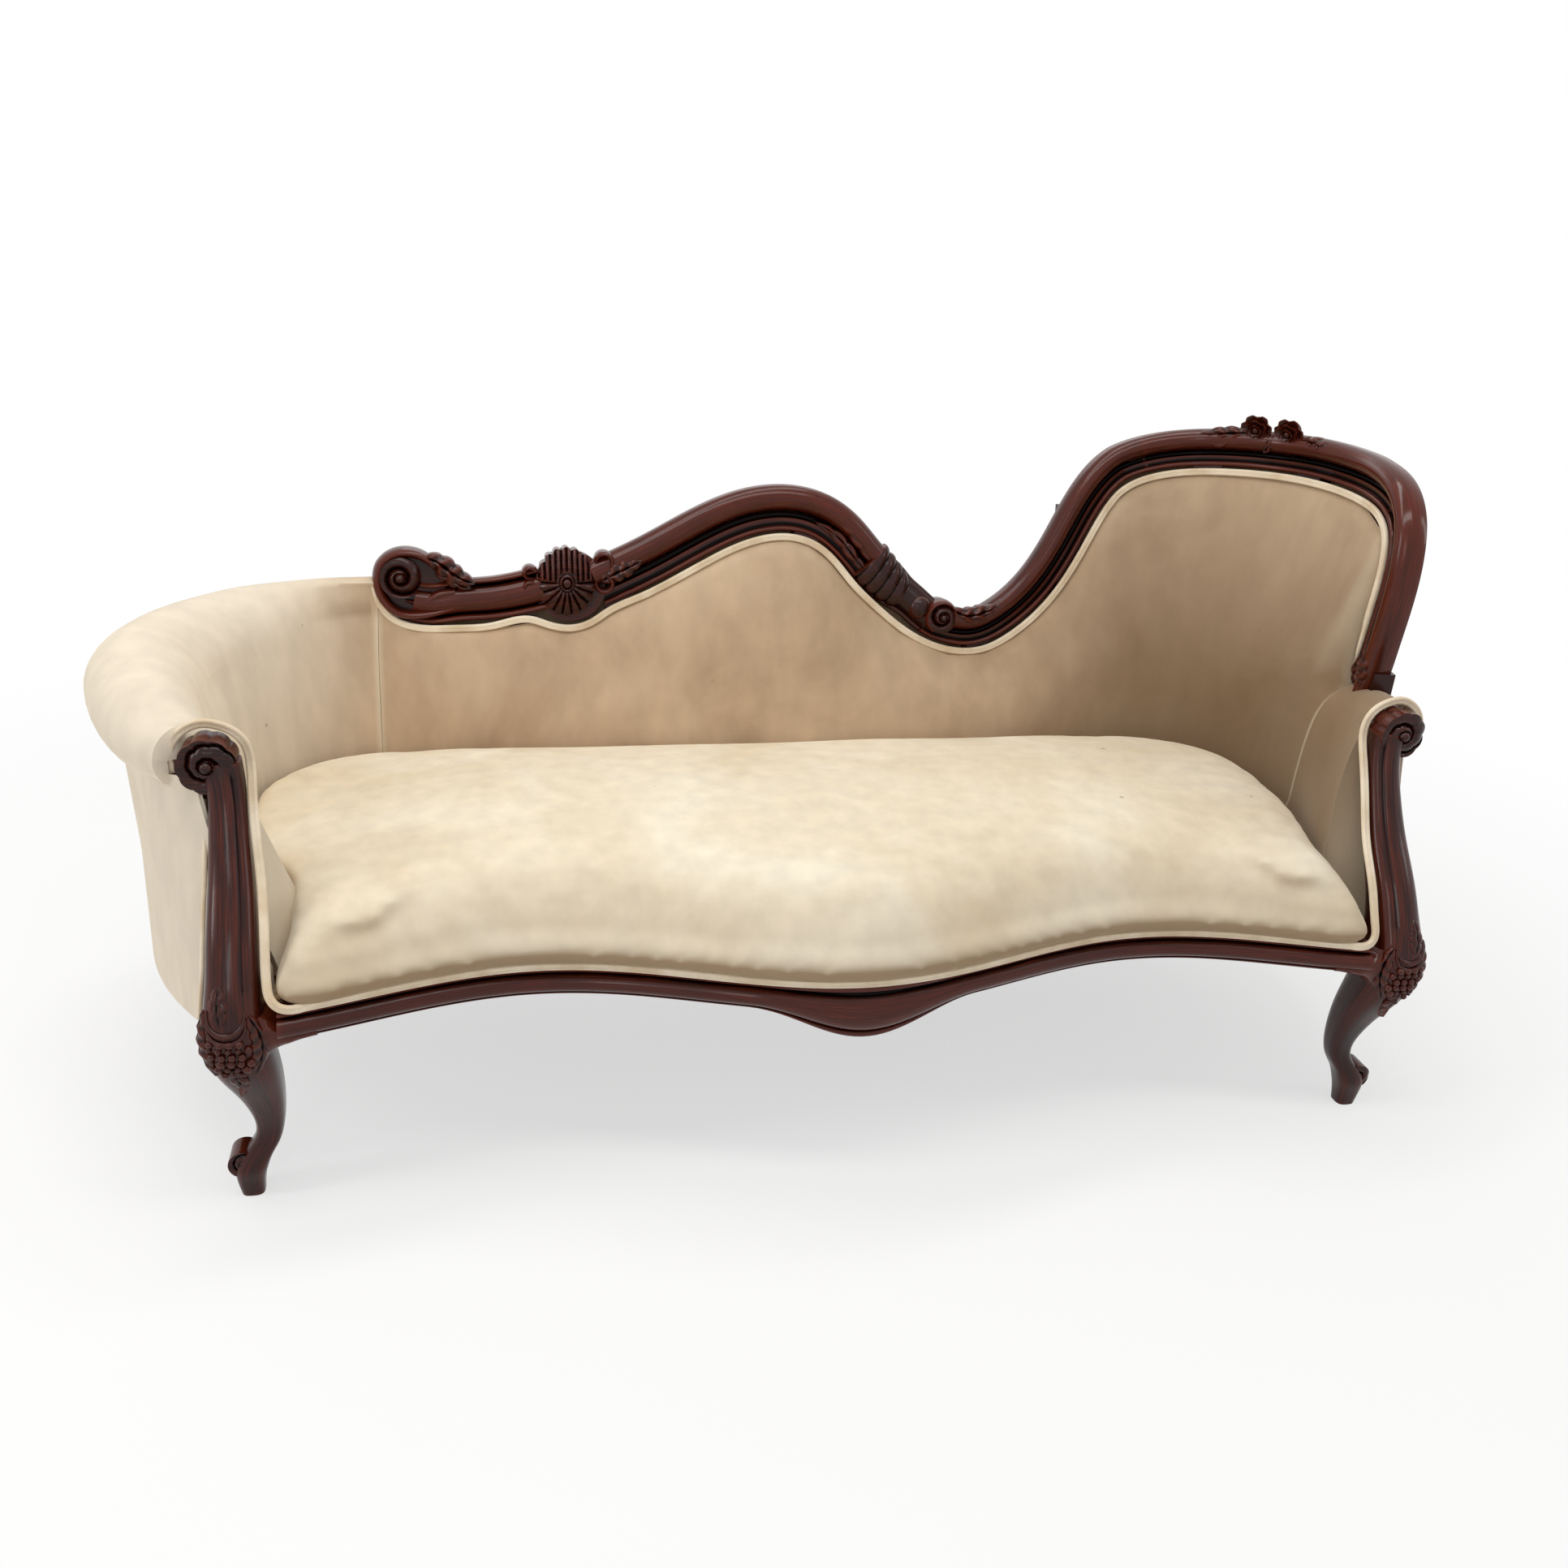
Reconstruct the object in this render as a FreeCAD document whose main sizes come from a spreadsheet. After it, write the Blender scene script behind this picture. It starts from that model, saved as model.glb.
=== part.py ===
import FreeCAD, Part
import math
import os
import Sketcher
from FreeCAD import Vector

# Victorian fainting couch, built the way a chair maker and an upholsterer build it.
# Lengths are millimetres. The plan is drawn from a point midway between the front feet:
# x runs to the high end, y to the back and z up.
# Every piece is then moved by origin_x and origin_y, so that the model's own origin
# lies on the floor under the middle of its outline.

DRIVING_SIZES = [
    ("origin_x", 56.0, "moves the plan so that the outline is centred"),
    ("origin_y", -327.0, "moves the plan so that the outline is centred"),
    ("post_reach", 837.0, "middle of the couch to the arm post's centre line"),
    ("post_depth", 90.0, "front feet to the arm post's centre line"),
    ("left_reach", 945.0, "middle to the widest part of the long rolled arm"),
    ("right_reach", 885.0, "middle to the widest part of the high end"),
    ("back_depth", 655.0, "front feet to the frame line of the back"),
    ("corner_radius", 270.0, "bend of the frame line at both back corners"),
    ("lean_height", 400.0, "height at which back and ends start to lean"),
    ("back_lean", 0.12, "outward lean of the back for each unit of height"),
    ("arm_lean", 0.10, "lean at the widest part of the rolled arm"),
    ("high_end_lean", 0.05, "lean at the widest part of the high end"),
    ("front_middle", -25.5, "mean line of the serpentine front"),
    ("front_swing", 45.5, "swing of the serpentine about its mean line"),
    ("front_wave", 440.0, "half a wave of the serpentine"),
    ("front_half", 757.0, "half the seat front between the posts"),
    ("rail_top", 312.0, "top of the front rail and of the hidden seat rails"),
    ("pad_foot", 313.0, "underside of the seat and of the padding"),
    ("rail_underside", 272.0, "underside of the front rail at its sides"),
    ("rail_drop", 43.0, "how far the rail hangs lower at the middle"),
    ("rail_drop_width", 162.0, "half the width of that drop"),
    ("frame_bottom", 232.0, "underside of the hidden seat rails"),
    ("frame_height", 80.0, "height of the hidden seat rails"),
    ("frame_inner", 4.0, "hidden seat rails, inner face from the frame line"),
    ("frame_outer", 40.0, "hidden seat rails, outer face from the frame line"),
    ("wall_inner", -10.0, "hidden arm and back wood, inner face from the frame line"),
    ("wall_outer", 24.0, "hidden arm and back wood, outer face from the frame line"),
    ("crease_height", 405.0, "height where the seat meets back and arms"),
    ("crown_rise", 40.0, "how far the seat's middle stands above the crease"),
    ("nose_bulge", 30.0, "how far the seat front stands out over its piping"),
    ("pad_left", 84.0, "rolled arm, padding inside the frame line at the seat"),
    ("pad_back", 62.0, "back, padding inside the frame line at the seat"),
    ("pad_right", 82.0, "high end, padding inside the frame line at the seat"),
    ("roll_height", 596.0, "centre of the long roll where it is fullest"),
    ("roll_front_height", 589.0, "centre of both rolls behind their scrolls"),
    ("roll_front", 44.0, "radius of the arm rolls behind their scrolls"),
    ("roll_full", 79.0, "radius of the long arm's roll where it is fullest"),
    ("crest_wide", 80.0, "face width of the crest rail over the hump"),
    ("crest_narrow", 64.0, "face width of the crest rail round the high end"),
    ("crest_back", 20.0, "frame line to the back of the crest rail"),
    ("crest_front", 24.0, "frame line to the front of the crest rail"),
    ("scroll_radius", 56.0, "large scroll at the low end of the crest"),
    ("boss_radius", 62.0, "shell boss of the crest"),
    ("arm_scroll_radius", 37.0, "scroll on top of each arm post"),
    ("arm_scroll_height", 589.0, "centre of those scrolls above the floor"),
    ("cloth", 3.0, "thickness of the outside covers"),
    ("strap_width", 50.0, "width of the seat webbing"),
    ("strap_thickness", 2.0, "thickness of the seat webbing"),
    ("spring_foot", 264.0, "underside of the seat springs"),
    ("spring_height", 71.0, "height of the seat springs, tied down"),
    ("spring_wire", 4.0, "wire of the seat springs"),
    ("spring_radius", 42.0, "end turns of the seat springs"),
    ("spring_waist", 26.0, "middle turns of the seat springs"),
    ("block_leg", 80.0, "legs of the triangular corner blocks"),
    ("block_height", 40.0, "height of the corner blocks"),
    ("rear_leg_top", 46.0, "rear legs, side at the seat rail"),
    ("rear_leg_foot", 32.0, "rear legs, side at the floor"),
    ("rear_leg_rake", 78.0, "rear legs, how far the foot stands back"),
    ("rear_leg_left_reach", 640.0, "middle to the rear leg under the low end"),
    ("rear_leg_right_reach", 585.0, "middle to the rear leg under the high end"),
    ("rear_leg_depth", 636.0, "front feet to the tops of the rear legs"),
    ("dowel_radius", 5.0, "beech dowels of the crest joints"),
    ("dowel_length", 56.0, "beech dowels of the crest joints"),
    ("stretcher_reach", 255.0, "middle to each seat stretcher"),
    ("stretcher_thick", 28.0, "thickness of the seat stretchers"),
    ("stretcher_height", 40.0, "height of the seat stretchers"),
    ("stretcher_front", 34.5, "front feet line to the front ends of the stretchers"),
    ("hessian_thick", 1.4, "hessian over the springs"),
    ("hessian_width", 1320.0, "hessian, measured along the seat"),
    ("hessian_depth", 420.0, "hessian, measured from front to back"),
    ("well_middle", -20.0, "middle of the springs, measured along the seat"),
    ("well_front", 80.0, "front feet line to the front of the hessian"),
    ("bottom_level", 256.5, "underside of the bottom cloth"),
    ("bottom_thick", 1.4, "bottom cloth and its backing"),
    ("piping_width", 12.0, "double piping, both cords together"),
    ("piping_thick", 8.0, "thickness of one piping cord"),
]

document = FreeCAD.newDocument("FaintingCouch")
sheet = document.addObject("Spreadsheet::Sheet", "Sizes")
for row, (alias, value, meaning) in enumerate(DRIVING_SIZES, start=1):
    sheet.set("A%d" % row, meaning)
    sheet.set("B%d" % row, "%g" % value)
    sheet.setAlias("B%d" % row, alias)
document.recompute()
subparts = []


def size(alias):
    """A driving size, read from the sheet."""
    return float(sheet.get(alias))


def settle(piece, label):
    """Name a finished sub-part and move it to the model's origin."""
    piece.Label = label
    piece.setExpression("Placement.Base.x", "Sizes.origin_x")
    piece.setExpression("Placement.Base.y", "Sizes.origin_y")
    subparts.append(piece)
    return piece


def carve(label, shape):
    """A sub-part whose form only lofts, bends or carving can give."""
    piece = document.addObject("Part::Feature", label)
    piece.Shape = shape
    return settle(piece, label)


def bound(kind, name, sizes):
    """A primitive with each property bound to an expression on the sheet."""
    piece = document.addObject(kind, name)
    for prop, expression in sizes.items():
        piece.setExpression(prop, expression)
    return piece


def group(label, pieces):
    """Alike pieces kept together as one sub-part of separate solids."""
    bundle = document.addObject("Part::Compound", label)
    bundle.Links = pieces
    return settle(bundle, label)


# Frame line
# Seen from above it runs from the left post round the rolled arm, along the back and
# round the high end to the right post, as five tangent stretches. A station on it is
# its distance from the middle of the back, so on the straight back it equals x.

def side_arc(reach):
    """Radius and half angle of the long bend between a post and a back corner."""
    depth = size("back_depth") - size("corner_radius") - size("post_depth")
    rise = reach - size("post_reach")
    radius = (rise * rise + depth * depth) / (2 * rise)
    return radius, math.asin(depth / radius)


LEFT_RADIUS, LEFT_ANGLE = side_arc(size("left_reach"))
RIGHT_RADIUS, RIGHT_ANGLE = side_arc(size("right_reach"))
QUARTER = size("corner_radius") * math.pi / 2
BACK_LEFT = -(size("left_reach") - size("corner_radius"))
BACK_RIGHT = size("right_reach") - size("corner_radius")
LEFT_BEND = BACK_LEFT - QUARTER
RIGHT_BEND = BACK_RIGHT + QUARTER
LEFT_POST = LEFT_BEND - LEFT_RADIUS * LEFT_ANGLE
RIGHT_POST = RIGHT_BEND + RIGHT_RADIUS * RIGHT_ANGLE
BEND_DEPTH = size("back_depth") - size("corner_radius")


def on_circle(x, y, radius, angle):
    """Point, heading and outward normal on a bend walked clockwise from above."""
    normal = Vector(math.cos(angle), math.sin(angle), 0)
    heading = Vector(math.sin(angle), -math.cos(angle), 0)
    return Vector(x, y, 0) + normal * radius, heading, normal


def true_line(station):
    """Point, heading and outward normal of the bent frame line at a station."""
    if station < LEFT_BEND:
        angle = math.pi + (LEFT_BEND - station) / LEFT_RADIUS
        return on_circle(LEFT_RADIUS - size("left_reach"), BEND_DEPTH, LEFT_RADIUS, angle)
    if station < BACK_LEFT:
        angle = math.pi - (station - LEFT_BEND) / size("corner_radius")
        return on_circle(BACK_LEFT, BEND_DEPTH, size("corner_radius"), angle)
    if station <= BACK_RIGHT:
        return Vector(station, size("back_depth"), 0), Vector(1, 0, 0), Vector(0, 1, 0)
    if station < RIGHT_BEND:
        angle = math.pi / 2 - (station - BACK_RIGHT) / size("corner_radius")
        return on_circle(BACK_RIGHT, BEND_DEPTH, size("corner_radius"), angle)
    angle = -(station - RIGHT_BEND) / RIGHT_RADIUS
    return on_circle(size("right_reach") - RIGHT_RADIUS, BEND_DEPTH, RIGHT_RADIUS, angle)


def even_marks(start, stop, count):
    """Stations that split a stretch evenly, without its end."""
    return [start + (stop - start) * step / count for step in range(count)]


# The wood and the padding follow the line in short straight runs between these marks.
GRID = even_marks(LEFT_POST - 40, LEFT_BEND, 6)
GRID += even_marks(LEFT_BEND, BACK_LEFT, 8)
GRID += even_marks(BACK_LEFT, BACK_RIGHT, 8)
GRID += even_marks(BACK_RIGHT, RIGHT_BEND, 8)
GRID += even_marks(RIGHT_BEND, RIGHT_POST + 40, 6)
GRID += [RIGHT_POST + 40]
GRID_PLACES = [true_line(mark) for mark in GRID]


def frame_line(station):
    """Point and outward normal of the frame line in its short straight runs."""
    index = 0
    while index < len(GRID) - 2 and GRID[index + 1] < station:
        index += 1
    part = (station - GRID[index]) / (GRID[index + 1] - GRID[index])
    first, _, first_normal = GRID_PLACES[index]
    last, _, last_normal = GRID_PLACES[index + 1]
    return (first + (last - first) * part,
            first_normal + (last_normal - first_normal) * part)


def stations(start, stop, extra=()):
    """Start, stop, every grid mark between them and the extra marks asked for."""
    wanted = list(GRID)
    wanted += [mark for mark in extra if min(abs(mark - other) for other in GRID) > 4]
    kept = [start]
    for mark in sorted(wanted):
        if kept[-1] + 3 < mark < stop - 3:
            kept.append(mark)
    return kept + [stop]


def mid_run(station):
    """Middle of the short straight run that holds a station."""
    for first, last in zip(GRID, GRID[1:]):
        if first <= station < last:
            return (first + last) / 2
    return station


def between(station, table):
    """Straight line interpolation in a table of (station, value)."""
    for (start, low), (stop, high) in zip(table, table[1:]):
        if station <= stop:
            part = max(0.0, (station - start) / (stop - start))
            return low + part * (high - low)
    return table[-1][1]


LEANS = [
    (LEFT_POST, 0.0),
    (LEFT_BEND, size("arm_lean")),
    (BACK_LEFT, size("back_lean")),
    (BACK_RIGHT, size("back_lean")),
    (RIGHT_BEND, size("high_end_lean")),
    (RIGHT_POST, 0.0),
]
PADDINGS = [
    (LEFT_POST, size("pad_left")),
    (LEFT_BEND, size("pad_left") + 12),
    (BACK_LEFT, size("pad_back")),
    (BACK_RIGHT, size("pad_right")),
    (RIGHT_POST, size("pad_right")),
]


def on_wall(station, height, offset):
    """Point of the leaning back or arm, offset outwards from the frame line."""
    point, normal = frame_line(station)
    lean = between(station, LEANS) * max(0.0, height - size("lean_height"))
    place = point + normal * (lean + offset)
    return Vector(place.x, place.y, height)


def arc(start, middle, end):
    return Part.Arc(start, middle, end).toShape()


def bend(start, heading, end):
    """Arc that leaves the start along a heading and reaches the end."""
    chord = end - start
    way = Vector(heading).normalize()
    side = (chord - way * chord.dot(way)).normalize()
    radius = chord.dot(chord) / (2 * chord.dot(side))
    centre = start + side * radius
    middle = centre - (centre - (start + end) / 2).normalize() * radius
    return arc(start, middle, end)


def closed(points):
    """Closed wire of straight edges."""
    return Part.makePolygon(points + [points[0]])


def steps(edge, count):
    """Points at equal steps along an edge, without its end."""
    return edge.discretize(Number=count + 1)[:-1]


def flat_face(points):
    return Part.Face(closed(points))


def carved(rings):
    """Solid with chiselled faces through rings of equally many points."""
    faces = [flat_face(rings[0]), flat_face(rings[-1])]
    for first, last in zip(rings, rings[1:]):
        for index in range(len(first)):
            after = (index + 1) % len(first)
            faces.append(flat_face([first[index], first[after], last[index]]))
            faces.append(flat_face([first[after], last[after], last[index]]))
    shell = Part.makeShell(faces)
    shell.sewShape()
    solid = Part.Solid(shell)
    if solid.Volume < 0:
        solid.reverse()
    return solid


def turned(profile, sides):
    """Turned form about z from (radius, height) pairs."""
    rings = []
    for radius, height in profile:
        rings.append([Vector(radius * math.cos(2 * math.pi * side / sides),
                             radius * math.sin(2 * math.pi * side / sides), height)
                      for side in range(sides)])
    return carved(rings)


def joined(first, others):
    """One solid of several overlapping ones."""
    whole = first.fuse(others).removeSplitter()
    if len(whole.Solids) != 1:
        raise RuntimeError("pieces do not meet: %d solids" % len(whole.Solids))
    return whole.Solids[0]


def biggest(shape):
    """The largest solid of a cut shape."""
    return max(shape.Solids, key=lambda solid: solid.Volume)


def band(start, stop, inner, outer, bottom, top):
    """Upright board that follows the frame line between two stations."""
    front = []
    back = []
    for station in stations(start, stop):
        point, normal = frame_line(station)
        front.append(point + normal * inner + Vector(0, 0, bottom))
        back.append(point + normal * outer + Vector(0, 0, bottom))
    return flat_face(front + back[::-1]).extrude(Vector(0, 0, top - bottom))


# Serpentine front

FRONT_STEP = 70.0
FRONT = [(FRONT_STEP * index,
          size("front_middle") - size("front_swing")
          * math.cos(math.pi * FRONT_STEP * index / size("front_wave")))
         for index in range(-11, 12)]


def front_depth(x):
    """Depth of the seat's front edge, a wave that swells at the middle."""
    return between(x, FRONT)


def front_marks(start, stop):
    """Places along the front between two ends."""
    return [start] + [x for x, depth in FRONT if start + 3 < x < stop - 3] + [stop]


def rail_bottom(x):
    """Underside of the front rail, lower at the middle and at the knees."""
    across = min(1.0, abs(x) / size("rail_drop_width"))
    middle = size("rail_drop") * (1 + math.cos(math.pi * across)) / 2
    return size("rail_underside") - middle


def front_rail():
    """Moulded rail under the seat front: a hollow, a bead and a flat back."""
    rings = []
    half = size("front_half") + 8
    back_low = 258.0
    for x in front_marks(-half, half):
        depth = front_depth(x)
        low = rail_bottom(x)
        high = size("rail_top")
        tall = high - low
        outline = [
            (44, min(low + 6, back_low)),
            (26, min(low, back_low + 3)),
            (12, low),
            (2, low + 0.06 * tall),
            (-5, low + 0.22 * tall),
            (-8, low + 0.42 * tall),
            (-6, low + 0.62 * tall),
            (1, low + 0.80 * tall),
            (5, low + 0.84 * tall),
            (1, low + 0.92 * tall),
            (3, high),
            (44, high),
        ]
        rings.append([Vector(x, depth + back, height) for back, height in outline])
    return carved(rings)


# Crest rail
# Each stretch is a smooth line of (station, height) on the leaning back, and the
# moulding's section stands square to it: a large bead outside, a hollow, and a small
# bead along the upholstery.

LOW_RAIL = [(-606, 634), (-575, 630), (-543, 634), (-490, 638), (-436, 646), (-404, 654)]
HUMP_RAIL = [(-308, 662), (-219, 703), (-137, 747), (-60, 780), (0, 790), (54, 784),
             (106, 758), (163, 700), (210, 655)]
COLLAR = [(210, 655), (226, 643), (244, 630)]
SWEEP_RAIL = [(244, 630), (278, 603), (320, 586), (360, 583), (405, 602), (470, 660),
              (520, 740), (560, 815), (600, 862), (650, 889)]
ARCH_RAIL = [(650, 889), (700, 903), (760, 912), (835, 918), (917, 921), (985, 919),
             (1055, 914), (1118, 899)]
STILE = [(1118, 899), (1162, 868), (1183, 818), (1184, 755), (1176, 690), (1165, 621)]


def smooth(points, spans):
    """(station, height, heading) at equal steps along a smooth line."""
    curve = Part.BSplineCurve()
    curve.interpolate([Vector(station, height, 0) for station, height in points])
    samples = []
    for place in curve.toShape().discretize(Number=spans + 1):
        heading = curve.tangent(curve.parameter(place))[0]
        samples.append((place.x, place.y, Vector(heading.x, heading.y, 0).normalize()))
    return samples


def crest_axes(station, height, heading):
    """Place, outward and forward directions of the crest's section."""
    point, along, normal = true_line(station)
    lean = between(station, LEANS)
    up = (normal * lean + Vector(0, 0, 1)).normalize()
    forward = along.cross(up)
    outward = (up * heading.x - along * heading.y).normalize()
    place = point + normal * lean * (height - size("lean_height")) + Vector(0, 0, height)
    return place, outward, forward


def moulding(width):
    """Section outline as (outward, forward), from the inner back corner."""
    half = width / 2
    back = size("crest_back")
    front = size("crest_front")
    bead = 19.0
    outline = [(-half + 2, -back)]
    for step in range(7):
        angle = math.radians(-90 + 36 * step)
        centre = (front - back) / 2
        outline.append((half - bead + bead * math.cos(angle),
                        centre + (front + back) / 2 * math.sin(angle)))
    outline.append((half - 2.1 * bead, 9))
    outline.append((-half + 17, 6))
    for angle in (75, 125, 180):
        turn = math.radians(angle)
        outline.append((-half + 7 + 7 * math.cos(turn), 6 + 7 * math.sin(turn)))
    return outline


def crest_section(sample, outline):
    place, outward, forward = crest_axes(*sample)
    return [place + outward * out + forward * ahead for out, ahead in outline]


def crest_stretch(points, spans, first_width, last_width):
    """Moulded rail along a smooth line, its width changing evenly."""
    rings = []
    for step, sample in enumerate(smooth(points, spans)):
        width = first_width + (last_width - first_width) * step / spans
        rings.append(crest_section(sample, moulding(width)))
    return carved(rings)


def spiral_ridge(radius, turns, steps, width, lift):
    """Carved spiral of a scroll's face, in the plane z = 0, as a tapering ridge."""
    rings = []
    for step in range(steps + 1):
        part = step / steps
        angle = 2 * math.pi * turns * part
        reach = radius * (1 - 0.78 * part)
        ray = Vector(math.cos(angle), math.sin(angle), 0)
        across = width * (1 - 0.45 * part)
        sunk = Vector(0, 0, -1)
        rings.append([ray * reach + sunk, ray * (reach - across / 2) + Vector(0, 0, lift),
                      ray * (reach - across) + sunk])
    return carved(rings)


def scroll(radius, thickness, turns):
    """A scroll: a thick disc with a spiral carved on its face and a button eye."""
    disc = turned([(radius, 0), (radius, thickness), (radius - 4, thickness + 4)], 24)
    ridge = spiral_ridge(radius - 5, turns, 14, radius * 0.26, 4)
    ridge.translate(Vector(0, 0, thickness + 4))
    eye = turned([(radius * 0.2, thickness + 3), (radius * 0.13, thickness + 11)], 8)
    shape = joined(disc, [ridge, eye])
    return shape.mirror(Vector(0, 0, 0), Vector(1, 0, 0))


def stand_on(shape, place, outward, forward):
    """Turn a shape drawn face up so that its face looks forward."""
    side = outward.cross(forward)
    turn = FreeCAD.Matrix(
        side.x, outward.x, forward.x, place.x,
        side.y, outward.y, forward.y, place.y,
        side.z, outward.z, forward.z, place.z,
        0, 0, 0, 1)
    return shape.transformed(turn, copy=True)


def crest_carving(shape, station, height, sunk):
    """Set a carving on the crest with its back sunk behind the frame line."""
    place, outward, forward = crest_axes(station, height, Vector(1, 0, 0))
    return stand_on(shape, place - forward * sunk, outward, forward)


def leaf(length, width, rise, spans):
    """A curled leaf along x: a low ridge that swells and dies out."""
    rings = []
    for step in range(spans + 1):
        part = step / spans
        swell = math.sin(math.pi * (0.06 + 0.88 * part))
        x = length * part
        side = width / 2 * swell
        rings.append([Vector(x, -side, 0), Vector(x, 0, rise * swell), Vector(x, side, 0),
                      Vector(x, 0, -6)])
    return carved(rings)


def lobed_disc(radius, lobes, depth, thickness, points_per_lobe):
    """Scalloped disc, the outline of the shell boss and of the roses."""
    outline = []
    count = lobes * points_per_lobe
    for step in range(count):
        angle = 2 * math.pi * step / count
        reach = radius - depth * (1 - abs(math.sin(lobes * angle / 2)))
        outline.append(Vector(reach * math.cos(angle), reach * math.sin(angle), 0))
    return Part.Face(closed(outline)).extrude(Vector(0, 0, thickness))


def low_crest():
    """Low end of the crest: rail, large scroll and the leaf that grows from it."""
    rail = crest_stretch(LOW_RAIL, 6, size("crest_narrow") + 4, size("crest_narrow") + 8)
    thickness = size("crest_back") + size("crest_front") - 6
    volute = crest_carving(scroll(size("scroll_radius"), thickness, 1.6),
                           -606, 660, size("crest_back"))
    spray = leaf(96, 34, 16, 5)
    spray.rotate(Vector(0, 0, 0), Vector(0, 0, 1), -10)
    spray = crest_carving(spray, -560, 690, -8)
    return joined(rail, [volute, spray])


def shell_boss():
    """Shell boss: scalloped rim, ribbed dome, ring and button."""
    thickness = size("crest_back") + size("crest_front")
    radius = size("boss_radius")
    rim = lobed_disc(radius, 18, 5, thickness - 8, 2)
    dome = turned([(radius - 7, thickness - 9), (radius * 0.42, thickness + 4),
                   (radius * 0.34, thickness + 8), (radius * 0.22, thickness + 7),
                   (radius * 0.18, thickness + 13), (radius * 0.08, thickness + 14)], 24)
    return crest_carving(joined(rim, [dome]), -356, 662, size("crest_back"))


def reeded_collar():
    """Collar of five turned reeds where the hump ends."""
    reeds = 5
    rings = []
    for step, sample in enumerate(smooth(COLLAR, 2 * reeds)):
        grow = 9 if step % 2 else 3
        outline = [(out * (1 + grow / 40), max(ahead, ahead * (1 + grow / 24)))
                   for out, ahead in moulding(size("crest_narrow") + 4)]
        rings.append(crest_section(sample, outline))
    return carved(rings)


def sweep():
    """Rail that sweeps from the collar up to the high end, with its small scroll."""
    rail = crest_stretch(SWEEP_RAIL, 12, size("crest_narrow"), size("crest_narrow"))
    thickness = size("crest_back") + size("crest_front") - 2
    volute = crest_carving(scroll(27, thickness, 1.4), 302, 612, size("crest_back"))
    spray = leaf(90, 26, 13, 5)
    spray.rotate(Vector(0, 0, 0), Vector(0, 0, 1), 12)
    spray = crest_carving(spray, 325, 605, -12)
    return joined(rail, [volute, spray])


def rose(radius):
    """An open rose: two rounds of petals and a bud."""
    outer = lobed_disc(radius, 6, 4, 8, 4)
    inner = lobed_disc(radius * 0.62, 5, 3, 14, 4)
    bud = turned([(radius * 0.3, 2), (radius * 0.26, 17), (radius * 0.1, 21)], 8)
    return joined(outer, [inner, bud])


def crest_flowers():
    """Two roses and their leaves, glued on the top of the high end."""
    pieces = []
    for station, tilt in ((815, -8), (868, 8)):
        flower = rose(25)
        flower.rotate(Vector(0, 0, 0), Vector(1, 0, 0), -28)
        flower.rotate(Vector(0, 0, 0), Vector(0, 0, 1), tilt)
        pieces.append(crest_carving(flower, station, 951, -16))
    for station, turn in ((797, 184), (888, -8)):
        spray = leaf(78, 24, 9, 4)
        spray.rotate(Vector(0, 0, 0), Vector(0, 0, 1), turn)
        pieces.append(crest_carving(spray, station, 942, -20))
    return pieces


DOWELS = [(-418, 655, 1, 0.05), (-294, 668, 1, 0.45), (244, 630, 1, -0.78),
          (650, 889, 1, 0.4), (1118, 899, 1, -0.45)]


def crest_dowels():
    """Dowels across the joints of the crest, as (station, height, heading)."""
    pins = []
    length = size("dowel_length")
    for station, height, along, rise in DOWELS:
        place, outward, forward = crest_axes(station, height, Vector(along, rise, 0).normalize())
        way = outward.cross(forward)
        pin = turned([(size("dowel_radius"), 0), (size("dowel_radius"), length)], 10)
        start = place - way * (length / 2) + forward * 2
        pins.append(stand_on(pin, start, outward, way))
    return pins


# Arm posts and front legs
# One carved piece of mahogany each: scroll foot, cabriole leg, knee, post and arm
# scroll. Each row gives the section's centre out from the middle and from the front
# feet, its height, and its half widths across and deep.

UPRIGHT = [
    (822, 12, 0, 15, 15),
    (823, 12, 26, 19, 19),
    (820, 11, 44, 21, 22),
    (812, 12, 62, 20, 21),
    (799, 15, 82, 18, 19),
    (793, 15, 104, 18, 20),
    (793, 10, 135, 22, 24),
    (799, 0, 175, 30, 31),
    (808, -13, 215, 38, 38),
    (815, -22, 258, 40, 42),
    (817, -22, 300, 37, 42),
    (817, -9, 342, 33, 38),
    (817, 16, 392, 31, 34),
    (818, 54, 450, 28, 29),
    (820, 84, 505, 25, 26),
    (824, 102, 552, 24, 23),
    (832, 110, 588, 25, 20),
]


def upright():
    """Left arm post and front leg, drawn on the left and mirrored for the right."""
    rings = []
    sides = 12
    for out, deep, height, half_wide, half_deep in UPRIGHT:
        ring = []
        for step in range(sides):
            angle = 2 * math.pi * (step + 0.5) / sides
            square = max(abs(math.cos(angle)), abs(math.sin(angle))) ** -0.35
            ring.append(Vector(-out + half_wide * square * math.cos(angle),
                               deep + half_deep * square * math.sin(angle), height))
        rings.append(ring)
    post = carved(rings)
    front = Vector(0, -1, 0)
    up = Vector(0, 0, 1)
    toe = stand_on(turned([(14, 0), (14, 34), (9, 38)], 12), Vector(-837, 31, 52), up, front)
    place = Vector(-size("post_reach") - 2, size("post_depth") + 38, size("arm_scroll_height"))
    volute = stand_on(scroll(size("arm_scroll_radius"), 34.0, 1.6), place, up, front)
    top = size("rail_top")
    bracket = [(-796, top), (-796, 196), (-789, 222), (-776, 248), (-758, 262), (-735, 269),
               (-735, top)]
    bracket = flat_face([Vector(x, -56, height) for x, height in bracket])
    bracket = bracket.extrude(Vector(0, 46, 0))
    tenon = Part.makeBox(70, 74, size("frame_height"), Vector(-862, 2, size("frame_bottom")))
    return joined(post, [toe, volute, bracket, tenon])


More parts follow.
